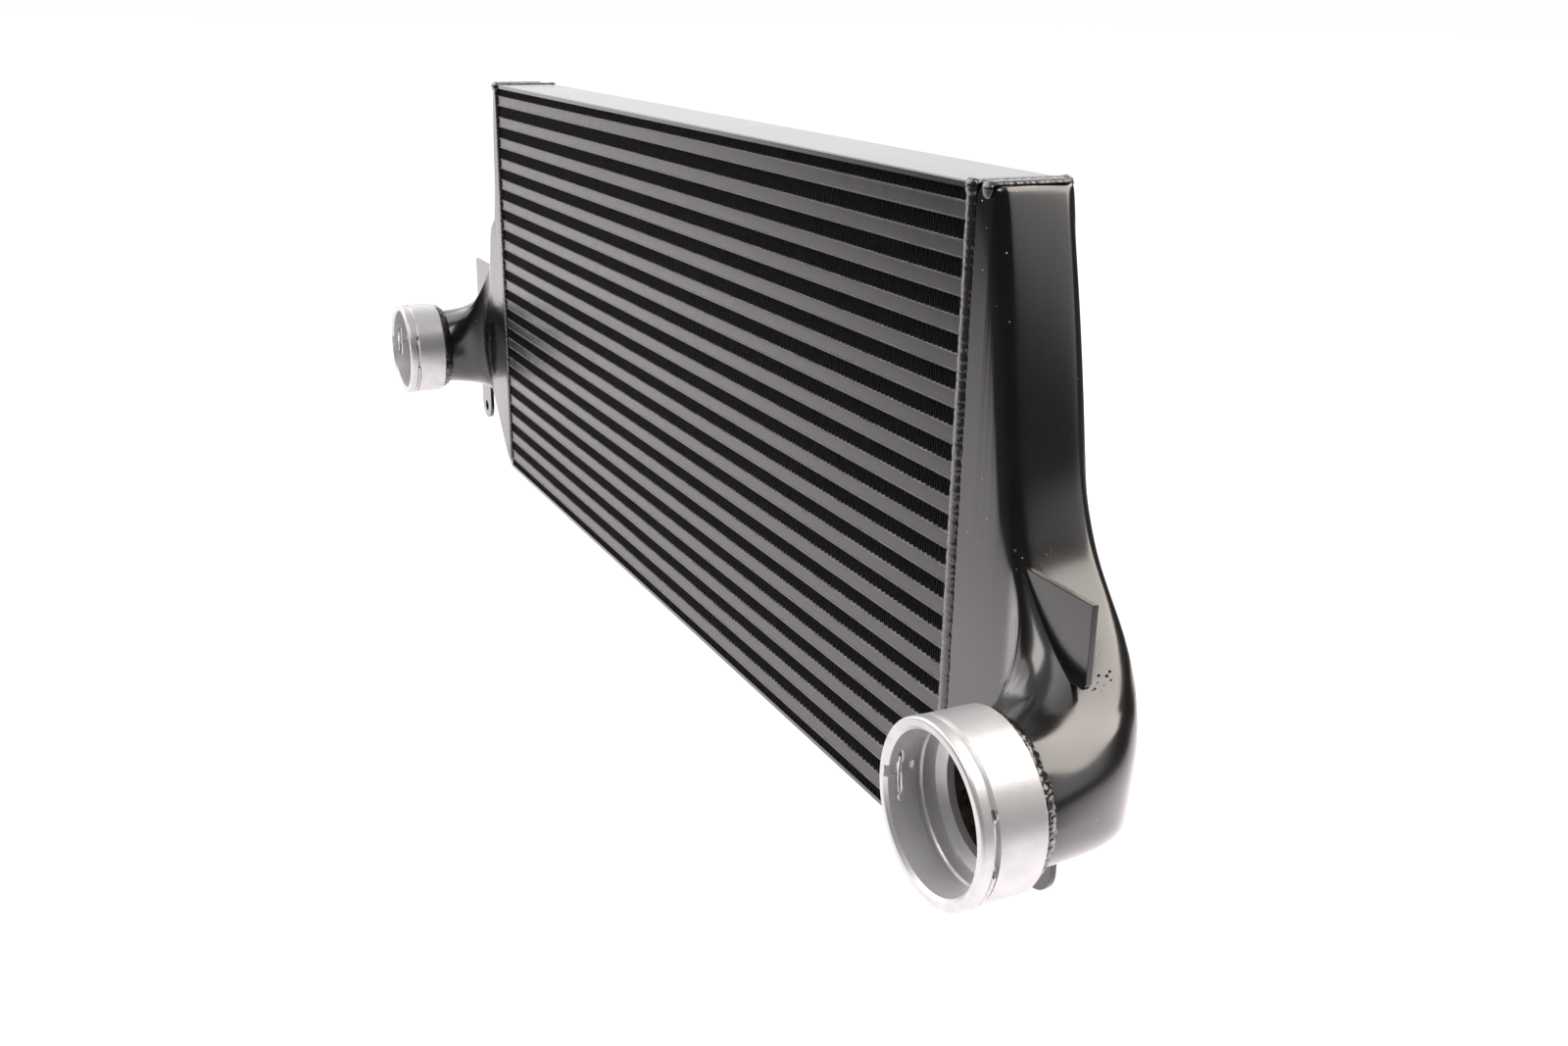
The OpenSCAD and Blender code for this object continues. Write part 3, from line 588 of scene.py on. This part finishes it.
SHOULDER_X, SHOULDER_Y, SHOULDER_Z = 0.414, -0.032, 0.126
SMOOTH_RADIUS, SMOOTH_FADE, CREASE_FREE_RADIUS = 40 * MM, 18 * MM, 30 * MM
tank_skin = {}
for side, sign in SIDES.items():
    shoulder_place = Vector((sign * SHOULDER_X, SHOULDER_Y, SHOULDER_Z))
    body = merged_copy(f"{side}_tank")
    socket_back = sockets[side][1].y
    sizes = mark_inner_skin(body, [(0, sign * core_high.x), (1, socket_back)])
    tank_skin[side] = BVHTree.FromBMesh(body)
    bmesh.ops.join_triangles(body, faces=body.faces[:], angle_face_threshold=math.radians(12),
                             angle_shape_threshold=math.radians(70))
    crease = body.edges.layers.float.new("crease_edge")
    for face in body.faces:
        face.smooth = True
    for edge in body.edges:
        middle = (edge.verts[0].co + edge.verts[1].co) / 2
        dressed = (middle - shoulder_place).length < CREASE_FREE_RADIUS
        if (len(edge.link_faces) == 2 and not dressed
                and edge.calc_face_angle(0.0) > math.radians(50)):
            edge[crease] = 1.0
            edge.smooth = False
    mesh = mesh_from(body, f"{side}_tank_shell")
    mesh.materials.append(tank_paint)
    mesh.materials.append(stained_neck)
    carrier = carrier_of(mesh)
    finer = carrier.modifiers.new("finer", "SUBSURF")
    finer.levels = finer.render_levels = 2
    mesh = evaluated_mesh(carrier, f"{side}_tank_shell")
    carrier = carrier_of(mesh)
    shoulder = carrier.vertex_groups.new(name="shoulder")
    for vert in mesh.vertices:
        away = (vert.co - shoulder_place).length
        if away < SMOOTH_RADIUS:
            weight = min(1.0, (SMOOTH_RADIUS - away) / SMOOTH_FADE)
            shoulder.add([vert.index], weight, "REPLACE")
    smoother = carrier.modifiers.new("dressed_shoulder", "SMOOTH")
    smoother.factor, smoother.iterations, smoother.vertex_group = 0.5, 160, "shoulder"
    mesh = evaluated_mesh(carrier, f"{side}_tank_shell")
    piece_from(mesh, mesh.name, None, [f"{side}_tank"])
    print(mesh.name, "skins", sizes, "slots", len(mesh.materials))

# %% [markdown]
# ## Weld beads
# A hand-laid bead is a row of small puddles, each overlapping the last, so its surface is a
# string of crescents. Modelling them one by one is hopeless, but the rule is simple: sweep a
# rounded section along the joint and let its height rise and fall with the distance along the
# path. The path is a chain of points that also carry which way is out, and how wide and tall
# the bead is there, so one tree makes every weld on the part. Softness shapes the ripples, from
# sharp grooves to gentle waves, and Flatness shapes the section, from full to bell-shaped.

# %% Tree that lays a rippled bead
def bead_tree():
    wiring, given, result = new_group(
        "rippled_bead", "GeometryNodeTree",
        [("Geometry", SHAPE, None), ("Stations", INT, 600), ("Wrap", INT, 0), ("Around", INT, 18),
         ("Ripple Spacing", FLOAT, 3.0), ("Ripple Depth", FLOAT, 0.25), ("Crescent", FLOAT, 0.8),
         ("Slant", FLOAT, 0.0), ("Wander", FLOAT, 0.15), ("Softness", FLOAT, 0.7),
         ("Flatness", FLOAT, 0.9), ("Root", FLOAT, 0.0003), ("Seed", FLOAT, 0.0)],
        [("Geometry", SHAPE)])
    line = wiring.read("GeometryNodeMeshToCurve", {"Mesh": given["Geometry"]})
    path = wiring.read("GeometryNodeResampleCurve", {"Curve": line, "Count": given["Stations"]})
    columns = given["Around"] + 1.0
    grid = wiring.read("GeometryNodeMeshGrid",
                       {"Size X": 1.0, "Size Y": 1.0, "Vertices Y": columns,
                        "Vertices X": given["Stations"] + given["Wrap"]}, "Mesh")
    number = wiring.read("GeometryNodeInputIndex")
    station = wiring.math("FLOOR", (number + 0.5) / columns)
    column = number - station * columns
    picked = station % given["Stations"]

    def sampled(field, kind="FLOAT"):
        return wiring.read("GeometryNodeSampleIndex",
                           {"Geometry": path, "Value": field, "Index": picked},
                           data_type=kind, domain="POINT")

    def stored(name, kind="FLOAT"):
        return wiring.read("GeometryNodeInputNamedAttribute", {"Name": name}, data_type=kind)

    outward = wiring.vector("NORMALIZE", stored("outward", "FLOAT_VECTOR"))
    tangent = wiring.read("GeometryNodeInputTangent")
    sideways = wiring.vector("NORMALIZE", wiring.vector("CROSS_PRODUCT", tangent, outward))
    centre = sampled(wiring.read("GeometryNodeInputPosition"), "FLOAT_VECTOR")
    out, aside = sampled(outward, "FLOAT_VECTOR"), sampled(sideways, "FLOAT_VECTOR")
    broad, tall = sampled(stored("broad")), sampled(stored("tall"))
    distance = sampled(wiring.read("GeometryNodeSplineParameter", output="Length"))

    angle = column * (2 * math.pi) / given["Around"]
    over, up = wiring.math("COSINE", angle), wiring.math("SINE", angle)
    above, below = wiring.math("MAXIMUM", up, 0.0), wiring.math("MINIMUM", up, 0.0)

    def wander(scale, detail, *shift):
        moved = wiring.vector("ADD", wiring.scaled(centre, 1000.0), wiring.xyz(*shift))
        return wiring.noise(moved, scale, detail)

    slow = wander(0.09, 2.0, 0.0, 0.0, given["Seed"])
    fast = wander(0.35, 1.0, given["Seed"], 0.0, 0.0)
    phase = (distance * 1000.0 / given["Ripple Spacing"] + slow * 3.0
             + given["Crescent"] * (over * over) + given["Slant"] * over)
    hump = wiring.math("ABSOLUTE", wiring.math("SINE", phase * math.pi)) ** given["Softness"]
    rise = 1.0 - given["Ripple Depth"] + hump * given["Ripple Depth"]
    wobble = (fast - 0.5) * given["Wander"]
    height = above ** given["Flatness"] * (tall * rise)
    height = height * (1.0 + wobble) + below * given["Root"]
    spread = given["Ripple Depth"] * 0.35
    reach = over * broad * (1.0 - spread + (wobble + hump * spread))
    spot = wiring.vector("ADD", centre, wiring.vector(
        "ADD", wiring.scaled(out, height), wiring.scaled(aside, reach)))
    bead = wiring.read("GeometryNodeSetPosition", {"Geometry": grid, "Position": spot})
    joined = wiring.read("GeometryNodeMergeByDistance",
                         {"Geometry": bead, "Distance": JOIN_DISTANCE})
    smooth = wiring.read("GeometryNodeSetShadeSmooth", {"Geometry": joined})
    return ended_tree(wiring, smooth, weld_paint, result)


def weld_path(points, outward, broad, tall, closed=False):
    """A chain of points that carries the bead's direction and size."""
    mesh = bpy.data.meshes.new("weld_path")
    edges = [(k, k + 1) for k in range(len(points) - 1)]
    if closed:
        edges.append((len(points) - 1, 0))
    mesh.from_pydata([tuple(p) for p in points], edges, [])
    for name, kind, values in (("outward", "FLOAT_VECTOR", outward), ("broad", "FLOAT", broad),
                               ("tall", "FLOAT", tall)):
        attribute = mesh.attributes.new(name, kind, "POINT")
        field = "vector" if kind == "FLOAT_VECTOR" else "value"
        attribute.data.foreach_set(field, np.asarray(values, np.float32).ravel())
    return mesh


def lay_bead(path, name, settings, stands_for=(), highest=None):
    """Runs the bead tree on a path. Where highest is given, the bead is cut off at that corner
    and at the lowest corner of the CAD."""
    carrier = carrier_of(path)
    add_nodes(carrier, rippled_bead, settings)
    mesh = evaluated_mesh(carrier, name)
    body = bmesh.new()
    body.from_mesh(mesh)
    if highest:
        for vert in body.verts:
            vert.co = Vector([min(max(c, low), high) for c, low, high in
                              zip(vert.co, cad_box[0], highest)])
    bmesh.ops.recalc_face_normals(body, faces=body.faces)
    body.to_mesh(mesh)
    body.free()
    piece_from(mesh, name, weld_paint, stands_for)


rippled_bead = bead_tree()
print("bead tree inputs", [i.name for i in rippled_bead.interface.items_tree])

# %% [markdown]
# ## Beads between core and tanks
# The bead runs up the front of the joint, over the top and down the back. It is low on top and
# in front, and taller at the back. At the top front corner the welder stopped and started
# again, which left a lump. The path is made of straight runs with two small rounds, and the
# outward direction turns along with them.

# %% Beads around the core's ends
TURN = 1.6 * MM


def corner_steps(edge_y, top, inward):
    """Nine steps (y, z, angle) round a top corner, from upright to level. Inward is 1 in front."""
    steps = []
    for degrees in np.linspace(0, 90, 9):
        a = math.radians(degrees)
        y = edge_y + inward * TURN - inward * TURN * math.cos(a)
        steps.append((y, top - TURN + TURN * math.sin(a), inward * (degrees - 90.0)))
    return steps


def core_bead_path(x, low_z):
    """Path up the front, across the top and down the back, seen along X."""
    front, back, top = core_low.y, core_high.y, core_high.z
    outline = [(front, z, -90.0) for z in np.arange(low_z, top - TURN, 1.0 * MM)]
    outline += corner_steps(front, top, 1)
    outline += [(y, top, 0.0) for y in np.arange(front + 2 * TURN, back - 1.5 * TURN, 1.0 * MM)]
    outline += reversed(corner_steps(back, top, -1))
    outline += [(back, z, 90.0) for z in np.arange(top - 2 * TURN, low_z, -1.0 * MM)]
    points = [Vector((x, y, z)) for y, z, _ in outline]
    outward = [Vector((0.0, math.sin(math.radians(a)), math.cos(math.radians(a))))
               for _, _, a in outline]
    return points, outward


CORE_BEAD_WIDTH = 7.6 * MM
FRONT_BEAD_HEIGHT, TOP_BEAD_HEIGHT, REAR_BEAD_HEIGHT = 1.2 * MM, 0.8 * MM, 2.7 * MM
LUMP_PLACE, LUMP_WIDTH, LUMP_HEIGHT = 0.3075, 0.0035, 1.3 * MM
for side, sign in SIDES.items():
    weld_low, weld_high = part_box(f"{side}_tank_weld")
    points, outward = core_bead_path(sign * core_high.x, weld_low.z + 1.0 * MM)
    broad, tall = [], []
    for k, (point, out) in enumerate(zip(points, outward)):
        upright = abs(out.y)
        taper = min(1.0, math.sqrt(min(k, len(points) - 1 - k) / 4.0))
        from_lump = (point - points[0]).length - LUMP_PLACE
        lump = math.exp(-from_lump ** 2 / (2 * LUMP_WIDTH ** 2))
        lump *= 1.0 if out.y < -0.2 else 0.3
        upright_height = FRONT_BEAD_HEIGHT if out.y < 0 else REAR_BEAD_HEIGHT
        broad.append(CORE_BEAD_WIDTH / 2 * (1 + 0.25 * lump) * max(taper, 0.02))
        tall.append((TOP_BEAD_HEIGHT + (upright_height - TOP_BEAD_HEIGHT) * upright
                     + LUMP_HEIGHT * lump) * taper)
    lay_bead(weld_path(points, outward, broad, tall), f"{side}_core_bead",
             {"Stations": 1500, "Around": 16, "Ripple Spacing": 4.2, "Ripple Depth": 0.3,
              "Crescent": 0.3, "Slant": -1.4 * sign, "Wander": 0.3, "Softness": 1.2,
              "Flatness": 1.1, "Seed": 3.0 + sign},
             [f"{side}_tank_weld"], highest=(cad_box[1].x, weld_high.y, cad_box[1].z))
    print(f"{side}_core_bead", len(points), "path points")

# %% [markdown]
# ## Beads on the tanks' top edges
# A cap closes each tank at the top, and its weld was ground into one smooth, rounded strip. At
# the front corner it rolls over the edge and ends in a second lump beside the first one. It is
# the same tree again, with next to no ripple and a section that slopes out gently.

# %% Cap strips with their corner lumps
CAP_OFFSET, CAP_LEG, CAP_STOP = 9.6 * MM, 5.5 * MM, 4.0 * MM
CAP_HALF_WIDTH, CAP_HEIGHT, CAP_CORNER_HEIGHT = 4.3 * MM, 1.7 * MM, 1.4 * MM
for side, sign in SIDES.items():
    cap_x = sign * (core_high.x + CAP_OFFSET)
    front, top = core_low.y + 0.9 * MM, core_high.z - 0.2 * MM
    points, outward, broad, tall = [], [], [], []
    for z in np.arange(top - CAP_LEG, top - TURN, 0.5 * MM):
        points.append(Vector((cap_x, front, z)))
        outward.append(Vector((0.0, -1.0, 0.15)).normalized())
    for y, z, angle in corner_steps(front, top, 1):
        points.append(Vector((cap_x, y, z)))
        a = math.radians(angle)
        outward.append(Vector((0.0, math.sin(a), math.cos(a))))
    for y in np.arange(front + 2 * TURN, core_high.y - CAP_STOP, 1.0 * MM):
        points.append(Vector((cap_x, y, top)))
        outward.append(Vector((0.0, 0.0, 1.0)))
    for k in range(len(points)):
        start = min(1.0, (k + 0.2) / 8.0) ** 0.6
        end = min(1.0, (len(points) - 1 - k) / 4.0) ** 0.5
        broad.append(CAP_HALF_WIDTH * max(math.sqrt(start) * max(end, 0.1), 0.02))
        height = CAP_HEIGHT if outward[k].z > 0.95 else CAP_CORNER_HEIGHT
        tall.append(height * start * max(end, 0.05))
    lay_bead(weld_path(points, outward, broad, tall), f"{side}_cap_bead",
             {"Stations": 260, "Around": 16, "Ripple Spacing": 6.0, "Ripple Depth": 0.06,
              "Crescent": 0.3, "Slant": 0.4, "Wander": 0.12, "Softness": 1.2, "Flatness": 1.2,
              "Seed": 8.0 + sign}, highest=tuple(cad_box[1]))
print("cap strips made")

# %% [markdown]
# ## Beads behind the sockets
# Each socket is welded to its neck all round. This bead is coarser, because the thick socket
# needs much more heat. The same tree lays it on a closed ring whose outward direction points
# half away from the neck and half away from the socket's back face.

# %% Ring beads
NECK_RADIUS, count = 31.0 * MM, 180
for side, sign in SIDES.items():
    axis = socket_axis[side]
    back = sockets[side][1].y
    points, outward = [], []
    for k in range(count):
        a = 2 * math.pi * k / count
        radial = Vector((math.cos(a), 0.0, math.sin(a)))
        points.append(Vector((axis.x, back + 3.0 * MM, axis.z)) + radial * (NECK_RADIUS + 1.2 * MM))
        outward.append((radial + Vector((0.0, 0.7, 0.0))).normalized())
    rng = np.random.default_rng(11 if sign > 0 else 12)
    swing = np.convolve(np.tile(rng.normal(size=count), 3), np.hanning(19), "same")[count:2 * count]
    swing = swing / np.abs(swing).max()
    broad = [(5.4 + 0.8 * s) * MM for s in swing]
    tall = [(2.9 + 0.5 * s) * MM for s in swing]
    lay_bead(weld_path(points, outward, broad, tall, closed=True), f"{side}_socket_bead",
             {"Stations": 900, "Wrap": 1, "Around": 18, "Ripple Spacing": 7.4,
              "Ripple Depth": 0.34, "Crescent": 0.35, "Slant": 1.5, "Wander": 0.5,
              "Seed": 20.0 + sign}, [f"{side}_socket_weld"])
print("ring beads made")

# %% [markdown]
# ## Beads that hold the gussets and the tabs
# Plates are welded to the tank from behind, and only rough ends of those beads can be seen. The
# joint is where the plate's rear plane cuts the tank's skin. Cutting a copy of the tank with
# that plane gives the line directly, which is safer than guessing it.

# %% Seat beads
def cut_line(side, plane_y, low, high):
    """Points where the tank's skin crosses a plane of constant y, inside a box."""
    body = merged_copy(f"{side}_tank")
    cut = bmesh.ops.bisect_plane(body, geom=body.verts[:] + body.edges[:] + body.faces[:],
                                 plane_co=(0, plane_y, 0), plane_no=(0, 1, 0))
    spots = [v.co.copy() for v in cut["geom_cut"] if isinstance(v, bmesh.types.BMVert)]
    body.free()
    return [p for p in spots if low.x <= p.x <= high.x and low.z <= p.z <= high.z]


def evenly(points, gap):
    """The same line with its points an even distance apart."""
    spots = np.array([tuple(p) for p in points])
    way = np.concatenate([[0], np.cumsum(np.linalg.norm(np.diff(spots, axis=0), axis=1))])
    steps = np.linspace(0, way[-1], max(2, int(way[-1] / gap)))
    return [Vector([float(np.interp(s, way, spots[:, axis])) for axis in range(3)])
            for s in steps]


def outer_points(side, points):
    """Keeps the points of the outer skin: those that see no other skin on their way out."""
    kept = []
    for p in points:
        _, normal, _, _ = tank_skin[side].find_nearest(p)
        hit = tank_skin[side].ray_cast(p + normal * 0.3 * MM, normal, 0.03)[0]
        if hit is None:
            kept.append((p, normal))
    return kept


def seat_bead(side, plate, order, name, width, height, seed):
    """Lays the bead where a plate's rear plane meets the tank. Its ends are thicker."""
    low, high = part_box(plate)
    margin = Vector((1.0, 1.0, 1.0)) * 1.5 * MM
    found = outer_points(side, cut_line(side, high.y, low - margin, high + margin))
    found.sort(key=lambda pair: order(pair[0]))
    line = evenly([p for p, _ in found], 1.0 * MM)
    outward = []
    for p in line:
        _, normal, _, _ = tank_skin[side].find_nearest(p)
        outward.append((normal + Vector((0.0, 1.0, 0.0))).normalized())
    count = len(line)
    taper = [min(1.0, math.sqrt(min(k, count - 1 - k) / 2.0)) for k in range(count)]
    taper = [t * (1.0 + 0.55 * math.exp(-min(k, count - 1 - k) / 4.0))
             for k, t in enumerate(taper)]
    path = weld_path(line, outward, [width / 2 * max(t, 0.02) for t in taper],
                     [height * t for t in taper])
    lay_bead(path, name, {"Stations": max(40, count * 4), "Around": 14, "Ripple Spacing": 3.4,
                          "Ripple Depth": 0.5, "Crescent": 0.5, "Slant": 0.3, "Wander": 0.9,
                          "Seed": seed})
    print(name, count, "points from", len(found))


for side, sign in SIDES.items():
    seat_bead(side, f"{side}_gusset_plate", lambda p: -p.z, f"{side}_gusset_bead",
              5.0 * MM, 2.0 * MM, 31.0 + sign)
    seat_bead(side, f"{side}_mounting_tab", lambda p: p.x, f"{side}_tab_bead",
              4.5 * MM, 1.8 * MM, 41.0 + sign)

# %% [markdown]
# ## Spatter
# Welding throws off tiny balls of metal that stick around the joint and are painted over. They
# are scattered by Geometry Nodes over two small patches of the tank beside each gusset, with a
# fixed seed, as squashed spheres of uneven size.

# %% Tree that scatters spatter on a patch
def spatter_tree():
    wiring, given, result = new_group(
        "spatter", "GeometryNodeTree",
        [("Geometry", SHAPE, None), ("Density", FLOAT, 9000.0), ("Smallest", FLOAT, 0.0002),
         ("Largest", FLOAT, 0.0007), ("Seed", INT, 5)],
        [("Geometry", SHAPE)])
    spots = wiring.node("GeometryNodeDistributePointsOnFaces",
                        {"Mesh": given["Geometry"], "Density": given["Density"],
                         "Seed": given["Seed"]}).outputs
    ball = wiring.read("GeometryNodeMeshIcoSphere", {"Radius": 1.0, "Subdivisions": 2})
    chance = wiring.read("FunctionNodeRandomValue", {"Seed": given["Seed"]}, 1,
                         data_type="FLOAT")
    size = wiring.ramp(chance ** 3.0, 0.0, 1.0, given["Smallest"], given["Largest"])
    placed = wiring.read("GeometryNodeInstanceOnPoints",
                         {"Points": spots["Points"], "Rotation": spots["Rotation"],
                          "Instance": wiring.read("GeometryNodeSetShadeSmooth", {"Geometry": ball}),
                          "Scale": wiring.xyz(size, size, size * 0.7)})
    return ended_tree(wiring, placed, weld_paint, result)


def skin_patch(side, centre, radius):
    """Faces of the tank's outer skin around a point, cut fine enough to have an edge."""
    body = merged_copy(f"{side}_tank")
    bmesh.ops.subdivide_edges(body, edges=body.edges, cuts=2, use_grid_fill=True)
    away = [f for f in body.faces if (f.calc_center_median() - centre).length > radius]
    bmesh.ops.delete(body, geom=away, context="FACES")
    inner = [f for f in body.faces
             if tank_skin[side].ray_cast(f.calc_center_median() + f.normal * 0.3 * MM,
                                         f.normal, 0.03)[0] is not None]
    bmesh.ops.delete(body, geom=inner, context="FACES")
    return mesh_from(body, "patch")


# %% Spatter around the right gusset and a little around the left one
PATCH_RADIUS = 11 * MM
spatter = spatter_tree()
for side, sign in SIDES.items():
    gusset_low, gusset_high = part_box(f"{side}_gusset_plate")
    inner_x = gusset_low.x if sign > 0 else gusset_high.x
    spots = [Vector((inner_x + sign * 3 * MM, gusset_high.y + 5 * MM, gusset_high.z + 4 * MM)),
             Vector((inner_x + sign * 38 * MM, gusset_high.y + 8 * MM, gusset_low.z + 6 * MM))]
    whole = bmesh.new()
    for spot in spots:
        near, _, _, _ = tank_skin[side].find_nearest(spot)
        whole.from_mesh(skin_patch(side, near, PATCH_RADIUS))
    carrier = carrier_of(mesh_from(whole, "patches"))
    add_nodes(carrier, spatter, {"Density": 60000.0 if sign > 0 else 30000.0,
                                 "Smallest": 0.15 * MM, "Largest": 0.75 * MM, "Seed": 5 + sign})
    grown = evaluated_mesh(carrier, f"{side}_spatter")
    piece_from(grown, grown.name, weld_paint)
    print(grown.name, len(grown.polygons), "faces")

# %% [markdown]
# ## Spring clips and what stays CAD
# The clip is one bent wire, swept in the CAD with few sides, so a smoothed copy is enough. The
# sockets, side plates, end bars and passage fins are exact in the CAD. They stay as they are
# and only take their material.

# %% Smooth clips and materials on the CAD nodes
for side in SIDES:
    clip = mesh_from(merged_copy(f"{side}_retaining_clip"), f"{side}_spring_clip")
    mesh = soften(clip, 50.0)
    mesh.name = f"{side}_spring_clip"
    piece_from(mesh, mesh.name, spring_steel, [f"{side}_retaining_clip"])

for name, finish in {"left_socket": turned_aluminium, "right_socket": turned_aluminium,
                     "top_side_plate": core_paint, "bottom_side_plate": core_paint,
                     "left_end_bars": core_paint, "right_end_bars": core_paint,
                     "inner_fins": brazed_aluminium}.items():
    nodes[name].data.materials.clear()
    nodes[name].data.materials.append(finish)
print("CAD nodes shown:", [n for n, o in nodes.items() if not o.hide_render])

# %% [markdown]
# ## Studio
# The studio is white. The white comes through Light Path at a strength near 1, so no lamp has to
# burn the background out. Black gloss only shows what it mirrors, so the mirrored studio matters
# most here: a white sweep on the left, a table that mirrored rays see as a painted pool of light
# near the part, fading to painted shade and black to the front and the right, and three
# softboxes. The world and the table give mirrored rays that pattern by direction and by place,
# and the camera sees white.

# %% Table and world
TABLE_HALF = 20.0


def ray_kinds(wiring):
    """Two masks: rays from the camera, and rays that a surface mirrors or lets through."""
    rays = wiring.node("ShaderNodeLightPath").outputs
    mirrored = wiring.math("MAXIMUM", rays["Is Glossy Ray"], rays["Is Transmission Ray"])
    return rays["Is Camera Ray"], mirrored


def white_table():
    """The camera sees it white. Mirrored rays see a painted pool of light that fades to black away
    from the part.
    """
    corners = [(x * TABLE_HALF, y * TABLE_HALF, 0) for x, y in ((-1, -1), (1, -1), (1, 1), (-1, 1))]
    mesh = bpy.data.meshes.new("table")
    mesh.from_pydata(corners, [], [(0, 1, 2, 3)])
    floor = bpy.data.objects.new("table", mesh)
    bpy.context.scene.collection.objects.link(floor)
    white = Finish("table_white", Roughness=0.9, Specular_IOR_Level=0.0)
    x, y, _ = white.parts(white.read("ShaderNodeTexCoord", output="Object"))
    # Painted light: for mirrored rays the table's glow and grey form a pool of light near the part
    # and fade to painted shade, then black, away from it.
    right = white.math("MAXIMUM", x - 0.45, 0.0)
    front = white.math("MAXIMUM", -0.12 - y, 0.0)
    rear = white.math("MAXIMUM", (y - 0.15) * 0.5, 0.0)
    away = white.vector("LENGTH", white.xyz(right, front, rear), output="Value")
    left = white.math("MAXIMUM", x * -0.42, 0.0)
    near = white.ramp(away - left, 0.05, 0.5, 1.0, 0.07)
    camera_ray, mirrored = ray_kinds(white)
    base = white.blend(mirrored * (1.0 - near), [0.36, 0.355, 0.36, 1.0], [0.0, 0.0, 0.0, 1.0])
    glow = white.blend(mirrored, [1.0, 0.99, 0.99, 1.0], [1.0, 0.93, 0.955, 1.0])
    seen = white.math("MAXIMUM", camera_ray, mirrored * near)
    white.link(base, white.shader["Base Color"])
    white.link(glow, white.shader["Emission Color"])
    white.link(seen * 0.88, white.shader["Emission Strength"])
    mesh.materials.append(white.material)


def studio_world():
    """White for the camera. Mirrored rays see a sweep, a ceiling and a fringe in the dark."""
    world = bpy.data.worlds.new("studio")
    bpy.context.scene.world = world
    world.use_nodes = True
    wiring = Wiring(world.node_tree)
    backdrop = world.node_tree.nodes["Background"].inputs
    way = wiring.read("ShaderNodeTexCoord", output="Generated")

    def towards(x, y, z):
        return wiring.vector("DOT_PRODUCT", way, Vector((x, y, z)).normalized(), output="Value")

    sweep = wiring.ramp(towards(-0.95, 0.2, 0.22), 0.57, 0.87, kind="SMOOTHSTEP")
    ceiling = wiring.ramp(wiring.parts(way)[2], 0.6, 0.9, 0.03, 0.4, kind="SMOOTHSTEP")
    fringe = wiring.ramp(towards(0.60, 0.768, 0.225), 0.951, 0.9945, 0.0, 0.9, kind="SMOOTHSTEP")
    mirror = wiring.math("MAXIMUM", wiring.math("MAXIMUM", sweep, ceiling), fringe)
    camera_ray, mirrored = ray_kinds(wiring)
    other = wiring.ramp(mirrored, 0.0, 1.0, 0.7, mirror)
    backdrop["Color"].default_value = [1.0, 0.99, 0.99, 1.0]
    wiring.link(wiring.ramp(camera_ray, 0.0, 1.0, other, 1.0), backdrop["Strength"])


# %% Softboxes
def softbox(name, place, target, width, height, radiance, tilt=0.0, tint=(1.0, 0.96, 0.93)):
    """A rectangular lamp. Its power follows from how bright its face looks."""
    data = bpy.data.lights.new(name, "AREA")
    data.shape = "RECTANGLE"
    data.size, data.size_y = width, height
    data.energy = radiance * math.pi * width * height
    data.color = tint
    lamp = bpy.data.objects.new(name, data)
    lamp.location = place
    facing = (Vector(target) - Vector(place)).to_track_quat("-Z", "Y").to_matrix()
    lamp.rotation_euler = (facing @ Matrix.Rotation(math.radians(tilt), 3, "Z")).to_euler()
    bpy.context.scene.collection.objects.link(lamp)


# %% [markdown]
# ## Camera
# The photograph was taken from the right front, a little above the core, with a lens of 35 mm on
# a full frame. The camera's place, its two angles and its slight roll come from matching the
# straight lines of the core.

# %% Camera
CAMERA_PLACE = Vector((0.8672, -0.3708, 0.3822))
AZIMUTH, ELEVATION, ROLL = math.radians(63.305), math.radians(19.144), math.radians(1.041)
CAMERA_SIDE = Vector((math.sin(AZIMUTH) * math.cos(ELEVATION),
                      -math.cos(AZIMUTH) * math.cos(ELEVATION), math.sin(ELEVATION)))
camera_data = bpy.data.cameras.new("camera")
camera_data.lens, camera_data.sensor_width = 34.93, 36.0
camera_data.clip_start, camera_data.clip_end = 0.02, 200.0
camera = bpy.data.objects.new("camera", camera_data)
bpy.context.scene.collection.objects.link(camera)
camera.matrix_world = (Matrix.Translation(CAMERA_PLACE)
                       @ (-CAMERA_SIDE).to_track_quat("-Z", "Y").to_matrix().to_4x4()
                       @ Matrix.Rotation(ROLL, 4, "Z"))
bpy.context.scene.camera = camera

white_table()
studio_world()
softbox("lamp_behind", (0.62, 1.17, 1.12), (0.43, 0.0, 0.2), 1.6, 1.0, 4.2, tilt=10.0,
        tint=(1.0, 0.92, 0.85))
softbox("lamp_over_camera", (0.58, -0.58, 1.43), (0.43, 0.0, 0.15), 0.9, 0.6, 4.5)
softbox("lamp_left", (-1.05, -0.94, 1.2), (0.4, 0.0, 0.2), 1.9, 1.35, 1.6)
bpy.context.scene.view_settings.view_transform = "Standard"
